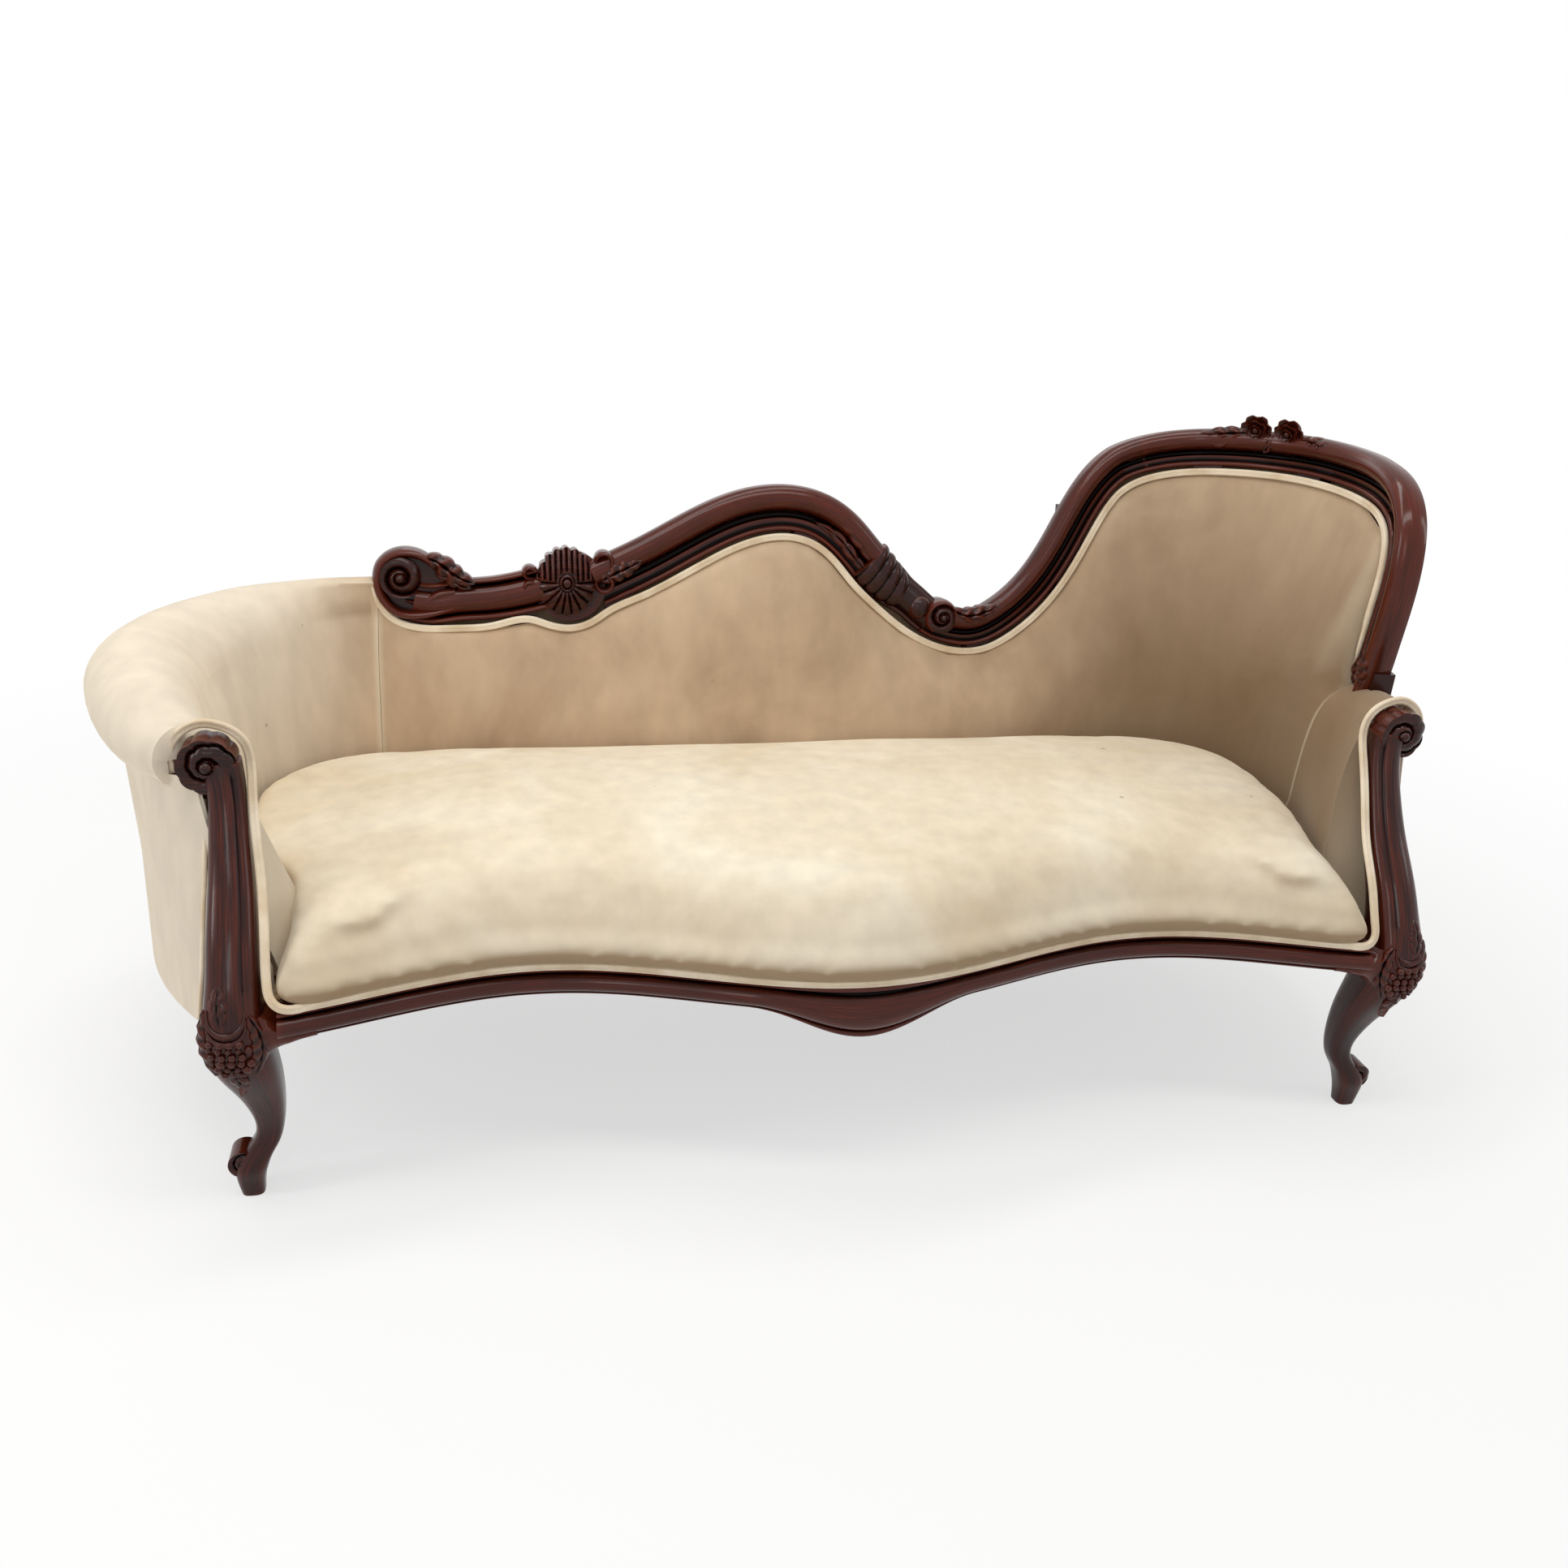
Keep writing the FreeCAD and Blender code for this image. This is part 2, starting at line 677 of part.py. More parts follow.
def post_front(reach):
    """Everything in front of the arm posts' back, to trim the arm padding."""
    outline = [(-300, 200), (24, 200), (24, 330), (52, 394), (84, 450), (111, 505),
               (127.5, 548), (130.5, 562), (130.5, 800), (-300, 800)]
    face = Part.Face(closed([Vector(-1100, depth, height) for depth, height in outline]))
    slab = face.extrude(Vector(500, 0, 0))
    return slab if reach < 0 else slab.mirror(Vector(0, 0, 0), Vector(1, 0, 0))


# Seat

def seat_crown():
    """Seat before trimming: a bulging nose, a crown and a straight back edge."""
    rings = []
    left = -870.0
    right = 830.0
    base = size("pad_foot")
    lip = size("rail_top") + size("piping_width")
    rebate = 5.0
    half = size("front_half")
    back = size("back_depth") - 30
    for x in front_marks(left, right):
        end = min(1.0, abs(x) / half) ** 4
        front = front_depth(max(-half, min(half, x)))
        foot = Vector(x, front, lip)
        nose = Vector(x, front - size("nose_bulge"), lip + 46)
        brow = Vector(x, front + 2, lip + 84 - 20 * end)
        summit = Vector(x, (front + back) / 2,
                        size("crease_height") + size("crown_rise") * (1 - 0.8 * end))
        rear = Vector(x, back, size("crease_height"))
        front_arc = Part.Arc(foot, nose, brow)
        top = bend(brow, front_arc.tangent(front_arc.LastParameter)[0], summit)
        ring = [Vector(x, back, base), Vector(x, front + rebate, base),
                Vector(x, front + rebate, lip)]
        ring += steps(front_arc.toShape(), 5) + steps(top, 5) + [summit, rear]
        rings.append(ring)
    return carved(rings)


def seat_blank(gap, front, corner, bottom, top):
    """Upright prism inside the padding, its front corners rounded."""
    points = []
    for station in stations(LEFT_POST - 12, RIGHT_POST + 12):
        point, normal = frame_line(station)
        points.append(point - normal * (between(station, PADDINGS) + gap))
    half = size("front_half") + 10 - gap
    corners = []
    for step in range(5):
        angle = math.pi / 8 * step
        corners.append((half - corner * (1 - math.cos(angle)),
                        front + corner * (1 - math.sin(angle))))
    points += [Vector(x, y, 0) for x, y in corners]
    points += [Vector(-x, y, 0) for x, y in corners[::-1]]
    block = flat_face(points).extrude(Vector(0, 0, top - bottom))
    block.translate(Vector(0, 0, bottom))
    return block


def well_block(margin, bottom, top, slope):
    """Rectangular block over the springs, its upper part sloping inwards."""
    middle = size("well_middle")
    front = size("well_front")
    long_half = size("hessian_width") / 2 + margin
    rings = []
    for grow, height in ((0, bottom), (0, (bottom + top) / 2), (-slope, top)):
        near = front - margin - grow
        far = front + size("hessian_depth") + margin + grow
        rings.append([Vector(middle - long_half - grow, near, height),
                      Vector(middle + long_half + grow, near, height),
                      Vector(middle + long_half + grow, far, height),
                      Vector(middle - long_half - grow, far, height)])
    return carved(rings)


# Padding of the back and the high end

def inner_edge(points, spans, first_width, last_width, gap):
    """(station, height) of a line set in from the crest's inner edge by a gap."""
    edge = []
    for step, (station, height, heading) in enumerate(smooth(points, spans)):
        half = (first_width + (last_width - first_width) * step / spans) / 2 + gap
        edge.append((station + heading.y * half, height - heading.x * half))
    return edge


LOW_EDGE = [(-663, 642), (-650, 624), (-608, 602), (-543, 599), (-480, 603), (-418, 613),
            (-392, 605), (-356, 598), (-318, 607)]


def edge_line(gap):
    """The whole inner edge of the crest but for the stile, set in by a gap."""
    narrow = size("crest_narrow")
    wide = size("crest_wide")
    marks = [(station, height - gap) for station, height in LOW_EDGE]
    marks += inner_edge(HUMP_RAIL, 10, wide, wide - 6, gap)
    marks.append((232 - gap / 2, 592 - gap))
    marks += inner_edge(SWEEP_RAIL, 12, narrow, narrow, gap)[2:]
    marks += inner_edge(ARCH_RAIL, 6, narrow, narrow, gap)[1:]
    kept = marks[:1]
    for mark in marks:
        if mark[0] > kept[-1][0] + 3:
            kept.append(mark)
    return kept


def pad_section(station, top):
    """Padding from the seat to the crest, bulging a little towards the sitter."""
    thick = between(station, PADDINGS)
    crease = size("crease_height")
    base = size("pad_foot")
    back = size("wall_inner") - 1
    rest = -17.0
    bulge = arc(on_wall(station, crease, -thick),
                on_wall(station, (crease + top) / 2, (-thick + rest) / 2 - 13),
                on_wall(station, top, rest))
    ring = [on_wall(station, base, back), on_wall(station, base, -thick)]
    return ring + steps(bulge, 4) + [on_wall(station, top, rest), on_wall(station, top, back),
                                     on_wall(station, size("lean_height"), back)]


EDGE = edge_line(0)
PAD_CORNER = [(1119.0, 836.0), (1124.0, 819.0)]
PAD_EDGE = edge_line(size("piping_width") + 3)[:-1] + PAD_CORNER
PAD_START = -663.0
PAD_STOP = 1124.0


def padding(start, stop):
    """Padding under the crest between two stations."""
    marks = stations(start, stop, [station for station, top in PAD_EDGE])
    return carved([pad_section(station, between(station, PAD_EDGE)) for station in marks])


# Rolled arms

def rolled_section(station, radius, height, thick):
    """Arm padding with its roll over the top rail, notched for that rail."""
    crease = size("crease_height")
    base = size("pad_foot")
    back = size("wall_inner") - 1
    side = size("wall_outer") + 1
    under = radius * math.sqrt(0.5)

    def at(offset, tall):
        return on_wall(station, tall, offset)

    inner = arc(at(-thick, crease), at(-thick * 0.62 - radius * 0.42, (crease + height) / 2),
                at(-radius, height))
    over = arc(at(-radius, height), at(-under, height + under), at(0, height + radius))
    outer = arc(at(0, height + radius), at(radius * 0.924, height + radius * 0.383),
                at(under, height - under))
    ring = [at(back, base), at(-thick, base)]
    ring += steps(inner, 4) + steps(over, 3) + steps(outer, 4)
    return ring + [at(under, height - under), at(side, height - under), at(side, height),
                   at(back, height), at(back, size("lean_height"))]


ROLLS = [
    (LEFT_POST, size("roll_front"), size("roll_front_height")),
    (LEFT_BEND - 60, size("roll_full"), size("roll_height")),
    (BACK_LEFT, size("roll_full") - 8, size("roll_height") + 4),
    (PAD_STOP, 38.0, size("roll_front_height") - 12),
    (RIGHT_POST, size("roll_front"), size("roll_front_height")),
]
ROLL_RADII = [(station, radius) for station, radius, height in ROLLS]
ROLL_HEIGHTS = [(station, height) for station, radius, height in ROLLS]


def rolled_arm(start, stop, reach):
    """Padded arm between two stations, trimmed behind its post."""
    rings = []
    for station in stations(start, stop):
        rings.append(rolled_section(station, between(station, ROLL_RADII),
                                    between(station, ROLL_HEIGHTS),
                                    between(station, PADDINGS)))
    return biggest(carved(rings).cut(post_front(reach)))


# Hidden frame

def arm_rail(start, stop, reach):
    """Beech rail inside an arm roll."""
    rings = []
    inner = size("wall_inner")
    outer = size("wall_outer")
    for station in stations(start, stop):
        top = between(station, ROLL_HEIGHTS) - 1.5
        low = top - 29
        rings.append([on_wall(station, low, inner), on_wall(station, low, outer),
                      on_wall(station, top, outer), on_wall(station, top, inner)])
    return biggest(carved(rings).cut(post_front(reach)))


POST_WIDTH = 42.0


def wall_post(station, top, tools):
    """Leaning upright of the hidden frame, cut to seat under what it carries."""
    inner = size("wall_inner") + 0.5
    outer = size("wall_outer")
    start = mid_run(station) - POST_WIDTH / 2
    stop = mid_run(station) + POST_WIDTH / 2
    rings = []
    for height in (size("rail_top"), size("lean_height"), top):
        rings.append([on_wall(start, height, inner), on_wall(stop, height, inner),
                      on_wall(stop, height, outer), on_wall(start, height, outer)])
    post = carved(rings)
    for tool in tools:
        if post.BoundBox.intersect(tool.BoundBox):
            post = post.cut(tool)
    return biggest(post)


def outside_panel(start, stop, tops, fullness):
    """Outside cover: tacked under the seat rail and up under the crest or the roll."""
    rings = []
    low = size("frame_outer") + 1
    high = size("wall_outer") + 1 + fullness
    cloth = size("cloth")
    foot = size("frame_bottom") - 2
    for station in stations(start, stop, [mark for mark, top in tops[::2]]):
        top = between(station, tops)
        rings.append([on_wall(station, foot, low), on_wall(station, foot, low + cloth),
                      on_wall(station, top, high + cloth), on_wall(station, top, high)])
    return carved(rings)


def spring():
    """One hourglass coil spring, a square wire through short straight runs."""
    turns = 3
    steps_per_turn = 6
    count = turns * steps_per_turn
    wire = size("spring_wire")
    rise = size("spring_height") - wire
    rings = []
    for step in range(count + 1):
        part = step / count
        angle = 2 * math.pi * step / steps_per_turn
        waist = size("spring_waist")
        radius = waist + (size("spring_radius") - waist) * (2 * part - 1) ** 2
        ray = Vector(math.cos(angle), math.sin(angle), 0)
        low = ray * (radius - wire) + Vector(0, 0, rise * part)
        rings.append([low, low + ray * wire, low + ray * wire + Vector(0, 0, wire),
                      low + Vector(0, 0, wire)])
    return carved(rings)


def inner_side(depth, reach_sign):
    """x just inside the end rails at a depth, for the webbing."""
    gap = size("frame_inner") - 2.5
    reach = size("left_reach") if reach_sign < 0 else size("right_reach")
    radius = LEFT_RADIUS if reach_sign < 0 else RIGHT_RADIUS
    if depth > BEND_DEPTH:
        radius = size("corner_radius")
    centre = reach - radius
    across = math.sqrt((radius + gap) ** 2 - (depth - BEND_DEPTH) ** 2)
    return reach_sign * (centre + across)


# Double piping

def piping(marks):
    """Double piping through (point, facing) marks, lying flat on what it covers."""
    half = size("piping_width") / 2
    thick = size("piping_thick")
    outline = [(-half, 0.5), (-half * 0.5, 1), (0, 0.72), (half * 0.5, 1), (half, 0.5),
               (half * 0.8, 0), (-half * 0.8, 0)]
    rings = []
    for index, (place, facing) in enumerate(marks):
        before = marks[max(0, index - 1)][0]
        after = marks[min(len(marks) - 1, index + 1)][0]
        heading = (after - before).normalize()
        side = heading.cross(facing).normalize()
        out = side.cross(heading).normalize()
        rings.append([place + side * across + out * thick * lift for across, lift in outline])
    return carved(rings)


def front_piping():
    """Piping along the top of the front rail."""
    half = size("front_half") - 14
    marks = []
    for x in front_marks(-half, half):
        place = Vector(x, front_depth(x) + 4, size("rail_top") + size("piping_width") / 2)
        marks.append((place, Vector(0, -1, 0)))
    return piping(marks)


def crest_piping():
    """Piping along the inner edge of the crest and down the stile."""
    gap = size("piping_width") / 2 + 1.5
    places = [mark for mark in edge_line(gap) if -656 < mark[0] < 1085]
    places += inner_edge(STILE, 6, size("crest_narrow"), size("crest_narrow") - 6, gap)
    marks = []
    for station, height in places:
        normal = frame_line(station)[1]
        marks.append((on_wall(station, height, size("wall_inner") - 1), -normal))
    return piping(marks)


def post_piping():
    """Piping up the inner edge of the left post and over the roll's end."""
    front = Vector(0, -1, 0)
    marks = [(Vector(-774, -30, 338), front), (Vector(-776, -2, 385), front),
             (Vector(-780, 42, 442), front), (Vector(-787, 78, 500), front),
             (Vector(-791, 106, 548), front)]
    ring = 45.0
    for degrees in (0, 30, 60, 90, 120, 150, 180, 205):
        angle = math.radians(degrees)
        place = Vector(-size("post_reach") - 2 + ring * math.cos(angle), 128,
                       size("arm_scroll_height") + ring * math.sin(angle))
        marks.append((place, front))
    return piping(marks)


# Show wood
left_upright = upright()
right_upright = left_upright.mirror(Vector(0, 0, 0), Vector(1, 0, 0))
rail = biggest(front_rail().cut([left_upright, right_upright]))
boss = shell_boss()
dowels = crest_dowels()
hump = joined(crest_stretch(HUMP_RAIL, 12, size("crest_wide"), size("crest_wide") - 6),
              [reeded_collar()])
sweeping = sweep()
arch = crest_stretch(ARCH_RAIL, 8, size("crest_narrow"), size("crest_narrow"))
stile = crest_stretch(STILE, 7, size("crest_narrow"), size("crest_narrow") - 6)
low_rail = biggest(low_crest().cut([boss] + dowels))
hump = biggest(hump.cut([boss] + dowels))
sweeping = biggest(sweeping.cut([hump] + dowels))
arch = biggest(arch.cut([sweeping] + dowels))
stile = biggest(stile.cut([arch] + dowels))
boss = biggest(boss.cut(dowels))
crest = [low_rail, boss, hump, sweeping, arch, stile]
flowers = []
for flower in crest_flowers():
    flowers.append(biggest(flower.cut(crest + flowers)))

carve("front_upright_left", left_upright)
carve("front_upright_right", right_upright)
carve("front_rail", rail)
carve("crest_low_rail", low_rail)
carve("crest_shell_boss", boss)
carve("crest_hump_rail", hump)
carve("crest_sweep_rail", sweeping)
carve("crest_arch_rail", arch)
carve("crest_stile", stile)
carve("crest_flowers", Part.makeCompound(flowers))
carve("crest_dowels", Part.makeCompound(dowels))

# Rear legs
# A square block stands inside the seat rail and the tapered leg rakes back below it.

def rectangle(sketch, side):
    """A square centred on the sketch's origin, its side bound to the sheet."""
    corners = [Vector(-1, -1, 0), Vector(1, -1, 0), Vector(1, 1, 0), Vector(-1, 1, 0)]
    for index in range(4):
        sketch.addGeometry(Part.LineSegment(corners[index] * 20, corners[(index + 1) % 4] * 20))
    constraint = Sketcher.Constraint
    for index in range(4):
        sketch.addConstraint(constraint("Coincident", index, 2, (index + 1) % 4, 1))
    for index, kind in enumerate(("Horizontal", "Vertical", "Horizontal", "Vertical")):
        sketch.addConstraint(constraint(kind, index))
    sketch.addConstraint(constraint("Symmetric", 0, 1, 1, 2, -1, 1))
    wide_mark = sketch.addConstraint(constraint("DistanceX", 0, 1, 0, 2, 40))
    tall_mark = sketch.addConstraint(constraint("DistanceY", 1, 1, 1, 2, 40))
    sketch.setExpression("Constraints[%d]" % wide_mark, side)
    sketch.setExpression("Constraints[%d]" % tall_mark, side)


def rear_leg(label, across):
    """Raked rear leg: a loft from the seat rail to the floor, with a block on top."""
    body = document.addObject("PartDesign::Body", label)
    ground = [plane for plane in body.Origin.OriginFeatures if plane.Role == "XY_Plane"][0]
    sketches = []
    for name, side, height, rake in (
            ("Foot", "Sizes.rear_leg_foot", "0", "Sizes.rear_leg_rake"),
            ("Shoulder", "Sizes.rear_leg_top", "Sizes.frame_bottom", "0")):
        sketch = body.newObject("Sketcher::SketchObject", name)
        sketch.AttachmentSupport = [(ground, "")]
        sketch.MapMode = "FlatFace"
        sketch.setExpression("AttachmentOffset.Base.z", height)
        sketch.setExpression("AttachmentOffset.Base.y", rake)
        rectangle(sketch, side)
        sketches.append(sketch)
    leg = body.newObject("PartDesign::AdditiveLoft", "Taper")
    leg.Profile = sketches[0]
    leg.Sections = [sketches[1]]
    leg.Ruled = True
    block = body.newObject("PartDesign::Pad", "Block")
    block.Profile = sketches[1]
    block.setExpression("Length", "Sizes.frame_height")
    settle(body, label)
    body.setExpression("Placement.Base.x", "Sizes.origin_x " + across)
    body.setExpression("Placement.Base.y", "Sizes.origin_y + Sizes.rear_leg_depth")


rear_leg("rear_leg_left", "- Sizes.rear_leg_left_reach")
rear_leg("rear_leg_right", "+ Sizes.rear_leg_right_reach")

# Hidden frame pieces
floor = size("frame_bottom")
ceiling = floor + size("frame_height")
seat_level = (size("frame_inner"), size("frame_outer"), floor, ceiling)
carve("seat_rail_back", band(BACK_LEFT, BACK_RIGHT, *seat_level))
left_rail = band(LEFT_POST + 2, BACK_LEFT, *seat_level).cut(left_upright)
right_rail = band(BACK_RIGHT, RIGHT_POST - 2, *seat_level).cut(right_upright)
carve("seat_rail_left", biggest(left_rail))
carve("seat_rail_right", biggest(right_rail))
carve("arm_rail_left", arm_rail(LEFT_POST - 10, -681, -1))
carve("arm_rail_right", arm_rail(1204, RIGHT_POST + 10, 1))

back_posts = [wall_post(station, between(station, EDGE) + 14, crest)
              for station in (-600, -480, -219, 45, 330, 577)]
end_posts = [wall_post(station, between(station, EDGE) + 14, crest)
             for station in (760, 917, 1080)]
end_posts.append(wall_post(1165, 640, crest))
arm_posts = [wall_post(station, between(mid_run(station), ROLL_HEIGHTS) - 32, [])
             for station in (LEFT_POST + 130, LEFT_BEND, LEFT_BEND + 200, -689, 1250)]
carve("back_posts", Part.makeCompound(back_posts))
carve("high_end_posts", Part.makeCompound(end_posts))
carve("arm_posts", Part.makeCompound(arm_posts))


def tacking_rail(start, stop):
    """Light rails just over the seat, housed between the hidden posts."""
    strip = band(start, stop, size("wall_inner"), size("wall_outer") - 10, 342, 372)
    return strip.cut(back_posts + end_posts + arm_posts)


carve("tacking_rails_back", tacking_rail(-660, BACK_RIGHT))
carve("tacking_rails_left", tacking_rail(LEFT_POST + 46, -720))
carve("tacking_rails_right", tacking_rail(BACK_RIGHT + 1, RIGHT_POST - 30))

stretchers = []
for sign in ("-", ""):
    stretchers.append(bound("Part::Box", "Stretcher", {
        "Length": "Sizes.stretcher_thick",
        "Height": "Sizes.stretcher_height",
        "Width": "Sizes.back_depth + Sizes.frame_inner - Sizes.stretcher_front",
        "Placement.Base.x": sign + "Sizes.stretcher_reach - Sizes.stretcher_thick / 2",
        "Placement.Base.y": "Sizes.stretcher_front",
        "Placement.Base.z": "Sizes.rail_top - Sizes.stretcher_height - 4",
    }))
group("seat_stretchers", stretchers)

blocks = []
for side in (-1, 1):
    leg = size("block_leg")
    corner = Vector(side * 792, -4, size("rail_top") - size("block_height") - 8)
    face = flat_face([corner, corner + Vector(-side * leg, 0, 0), corner + Vector(0, leg, 0)])
    block = face.extrude(Vector(0, 0, size("block_height")))
    blocks.append(biggest(block.cut([rail, left_upright, right_upright])))
carve("corner_blocks", Part.makeCompound(blocks))

# Webbing, springs and hessian
straps = []
for index in range(6):
    depth = 110.0 + index * 84
    edges = (depth - 25, depth, depth + 25)
    left_end = max(inner_side(edge, -1) for edge in edges)
    right_end = min(inner_side(edge, 1) for edge in edges)
    strap = bound("Part::Box", "LongStrap", {
        "Width": "Sizes.strap_width",
        "Height": "Sizes.strap_thickness",
        "Placement.Base.z": "Sizes.spring_foot - 2 * Sizes.strap_thickness - 0.6",
    })
    strap.Length = right_end - left_end
    strap.Placement.Base.x = left_end
    strap.Placement.Base.y = depth - size("strap_width") / 2
    straps.append(strap)
group("webbing_lengthwise", straps)

straps = []
for index in range(13):
    x = -580.0 + index * 92
    start = max(front_depth(x - 25), front_depth(x), front_depth(x + 25)) + 45
    strap = bound("Part::Box", "CrossStrap", {
        "Length": "Sizes.strap_width",
        "Height": "Sizes.strap_thickness",
        "Placement.Base.z": "Sizes.spring_foot - Sizes.strap_thickness - 0.3",
    })
    strap.Width = size("back_depth") + size("frame_inner") - start
    strap.Placement.Base.x = x - size("strap_width") / 2
    strap.Placement.Base.y = start
    straps.append(strap)
group("webbing_crosswise", straps)

coil = spring()
coils = []
for x in (-560, -380, -110, 110, 380, 540):
    for depth in (190, 420):
        coils.append(coil.translated(Vector(x, depth, size("spring_foot"))))
carve("seat_springs", Part.makeCompound(coils))

hessian_level = size("spring_foot") + size("spring_height") + 0.3
hessian = bound("Part::Box", "SpringHessian", {
    "Length": "Sizes.hessian_width",
    "Width": "Sizes.hessian_depth",
    "Height": "Sizes.hessian_thick",
    "Placement.Base.z": "Sizes.spring_foot + Sizes.spring_height + 0.3",
})
settle(hessian, "spring_hessian")
hessian.setExpression("Placement.Base.x",
                      "Sizes.origin_x + Sizes.well_middle - Sizes.hessian_width / 2")
hessian.setExpression("Placement.Base.y", "Sizes.origin_y + Sizes.well_front")

# Stuffing and covers
stuffing_foot = hessian_level + size("hessian_thick") + 0.3
stuffing = well_block(0, stuffing_foot, stuffing_foot + 56, 60)
well = well_block(6, size("pad_foot") - 10, stuffing_foot, 0)
cover = seat_crown().common(seat_blank(2, -140, 60, 300, 500))
carve("seat_stuffing", stuffing)
carve("seat_cover", biggest(cover.cut([stuffing, well])))
carve("inside_back_pad", padding(PAD_START, BACK_RIGHT))
carve("high_end_pad", padding(BACK_RIGHT + 0.5, PAD_STOP))
carve("long_arm_pad", rolled_arm(LEFT_POST - 12, PAD_START - 1, -1))
short_arm = rolled_arm(PAD_STOP + 1, RIGHT_POST + 12, 1)
carve("short_arm_pad", biggest(short_arm.cut([end_posts[-1], stile])))

BACK_TOPS = [(station, top + 9) for station, top in EDGE]
ROLL_UNDERS = [(station, height - radius * math.sqrt(0.5) - 1)
               for station, radius, height in ROLLS]
carve("outside_back", outside_panel(PAD_START, BACK_RIGHT, BACK_TOPS, 0))
carve("outside_high_end", outside_panel(BACK_RIGHT + 0.5, PAD_STOP, BACK_TOPS, 0))
long_outside = outside_panel(LEFT_POST, PAD_START - 0.5, ROLL_UNDERS, 12).cut(left_upright)
short_outside = outside_panel(PAD_STOP + 0.5, RIGHT_POST, ROLL_UNDERS, 12).cut(right_upright)
carve("outside_long_arm", biggest(long_outside))
carve("outside_short_arm", biggest(short_outside))

carve("piping_seat_front", front_piping())
carve("piping_crest", crest_piping())
left_piping = post_piping()
carve("piping_left_post", left_piping)
carve("piping_right_post", left_piping.mirror(Vector(0, 0, 0), Vector(1, 0, 0)))

# Bottom cloth, tacked inside the seat rails
inside = []
for station in stations(LEFT_POST + 60, RIGHT_POST - 60):
    point, normal = frame_line(station)
    inside.append(point + normal * (size("frame_inner") - 1))
half = size("front_half") - 22
for x in front_marks(-half, half)[::-1]:
    inside.append(Vector(x, front_depth(x) + 46, 0))
bottom = flat_face(inside).extrude(Vector(0, 0, size("bottom_thick")))
bottom.translate(Vector(0, 0, size("bottom_level")))
legs = [Part.makeBox(50, 60, 60, Vector(x - 25, 606, 230))
        for x in (-size("rear_leg_left_reach"), size("rear_leg_right_reach"))]
carve("bottom_cloth", biggest(bottom.cut([left_upright, right_upright, rail] + legs)))

document.recompute()
os.makedirs("parts", exist_ok=True)
for piece in subparts:
    shape = piece.Shape
    if shape.isNull() or not shape.isValid():
        raise RuntimeError("unsound shape: " + piece.Label)
    if "Invalid" in piece.State or "Error" in piece.State:
        raise RuntimeError("failed object: " + piece.Label)
    shape.exportStep(os.path.join("parts", piece.Label + ".step"))
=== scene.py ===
import math

import bmesh
import bpy
import numpy as np
from mathutils import Matrix, Vector, noise

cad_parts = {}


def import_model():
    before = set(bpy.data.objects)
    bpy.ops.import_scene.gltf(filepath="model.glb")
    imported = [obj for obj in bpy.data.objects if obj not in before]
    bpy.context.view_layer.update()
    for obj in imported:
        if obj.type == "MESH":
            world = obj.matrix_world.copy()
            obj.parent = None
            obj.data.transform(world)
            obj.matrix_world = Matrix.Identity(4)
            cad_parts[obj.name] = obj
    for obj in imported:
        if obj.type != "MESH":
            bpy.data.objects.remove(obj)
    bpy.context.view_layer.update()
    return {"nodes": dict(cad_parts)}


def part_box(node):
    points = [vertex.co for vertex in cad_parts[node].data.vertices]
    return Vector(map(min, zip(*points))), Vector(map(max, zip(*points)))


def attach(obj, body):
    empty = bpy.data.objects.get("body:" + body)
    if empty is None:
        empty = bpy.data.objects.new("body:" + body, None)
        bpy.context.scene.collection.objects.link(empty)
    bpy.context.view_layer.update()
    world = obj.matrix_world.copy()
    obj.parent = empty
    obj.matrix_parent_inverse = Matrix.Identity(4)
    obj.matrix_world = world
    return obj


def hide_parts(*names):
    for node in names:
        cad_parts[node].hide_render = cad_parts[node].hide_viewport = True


# Victorian fainting couch in old mahogany and worn velvet.
# Shapes are drawn in millimetres on the maker's plan: x runs to the high end, y to the
# back and z up, from a point midway between the front feet. world() turns them to metres.

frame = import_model()

MM = 0.001
ORIGIN = Vector((56, -327, 0))

POST_REACH = 837
POST_DEPTH = 90
LEFT_REACH = 945
RIGHT_REACH = 885
BACK_DEPTH = 655
CORNER = 270
LEAN_HEIGHT = 400
PAD_FOOT = 313
STUFFED_HEIGHT = 360
CREASE = 405
RAIL_TOP = 312
PIPING_WIDE = 12
PIPING_THICK = 8
PAD_BACK = -11
BOSS = 62
ARM_SCROLL = 37
ARM_SCROLL_HEIGHT = 589
FRONT_HALF = 757


def world(point):
    """Metres in the model's frame from millimetres on the plan."""
    return (Vector(point) + ORIGIN) * MM


# Frame line: seen from above it runs from the left post round the rolled arm, along
# the back and round the high end. A station is the distance from the back's middle.

def side_arc(reach):
    """Radius and half angle of the long bend between a post and a back corner."""
    depth = BACK_DEPTH - CORNER - POST_DEPTH
    rise = reach - POST_REACH
    radius = (rise * rise + depth * depth) / (2 * rise)
    return radius, math.asin(depth / radius)


LEFT_RADIUS, LEFT_ANGLE = side_arc(LEFT_REACH)
RIGHT_RADIUS, RIGHT_ANGLE = side_arc(RIGHT_REACH)
BACK_LEFT = CORNER - LEFT_REACH
BACK_RIGHT = RIGHT_REACH - CORNER
LEFT_BEND = BACK_LEFT - CORNER * math.pi / 2
RIGHT_BEND = BACK_RIGHT + CORNER * math.pi / 2
LEFT_POST = LEFT_BEND - LEFT_RADIUS * LEFT_ANGLE
RIGHT_POST = RIGHT_BEND + RIGHT_RADIUS * RIGHT_ANGLE
BEND_DEPTH = BACK_DEPTH - CORNER


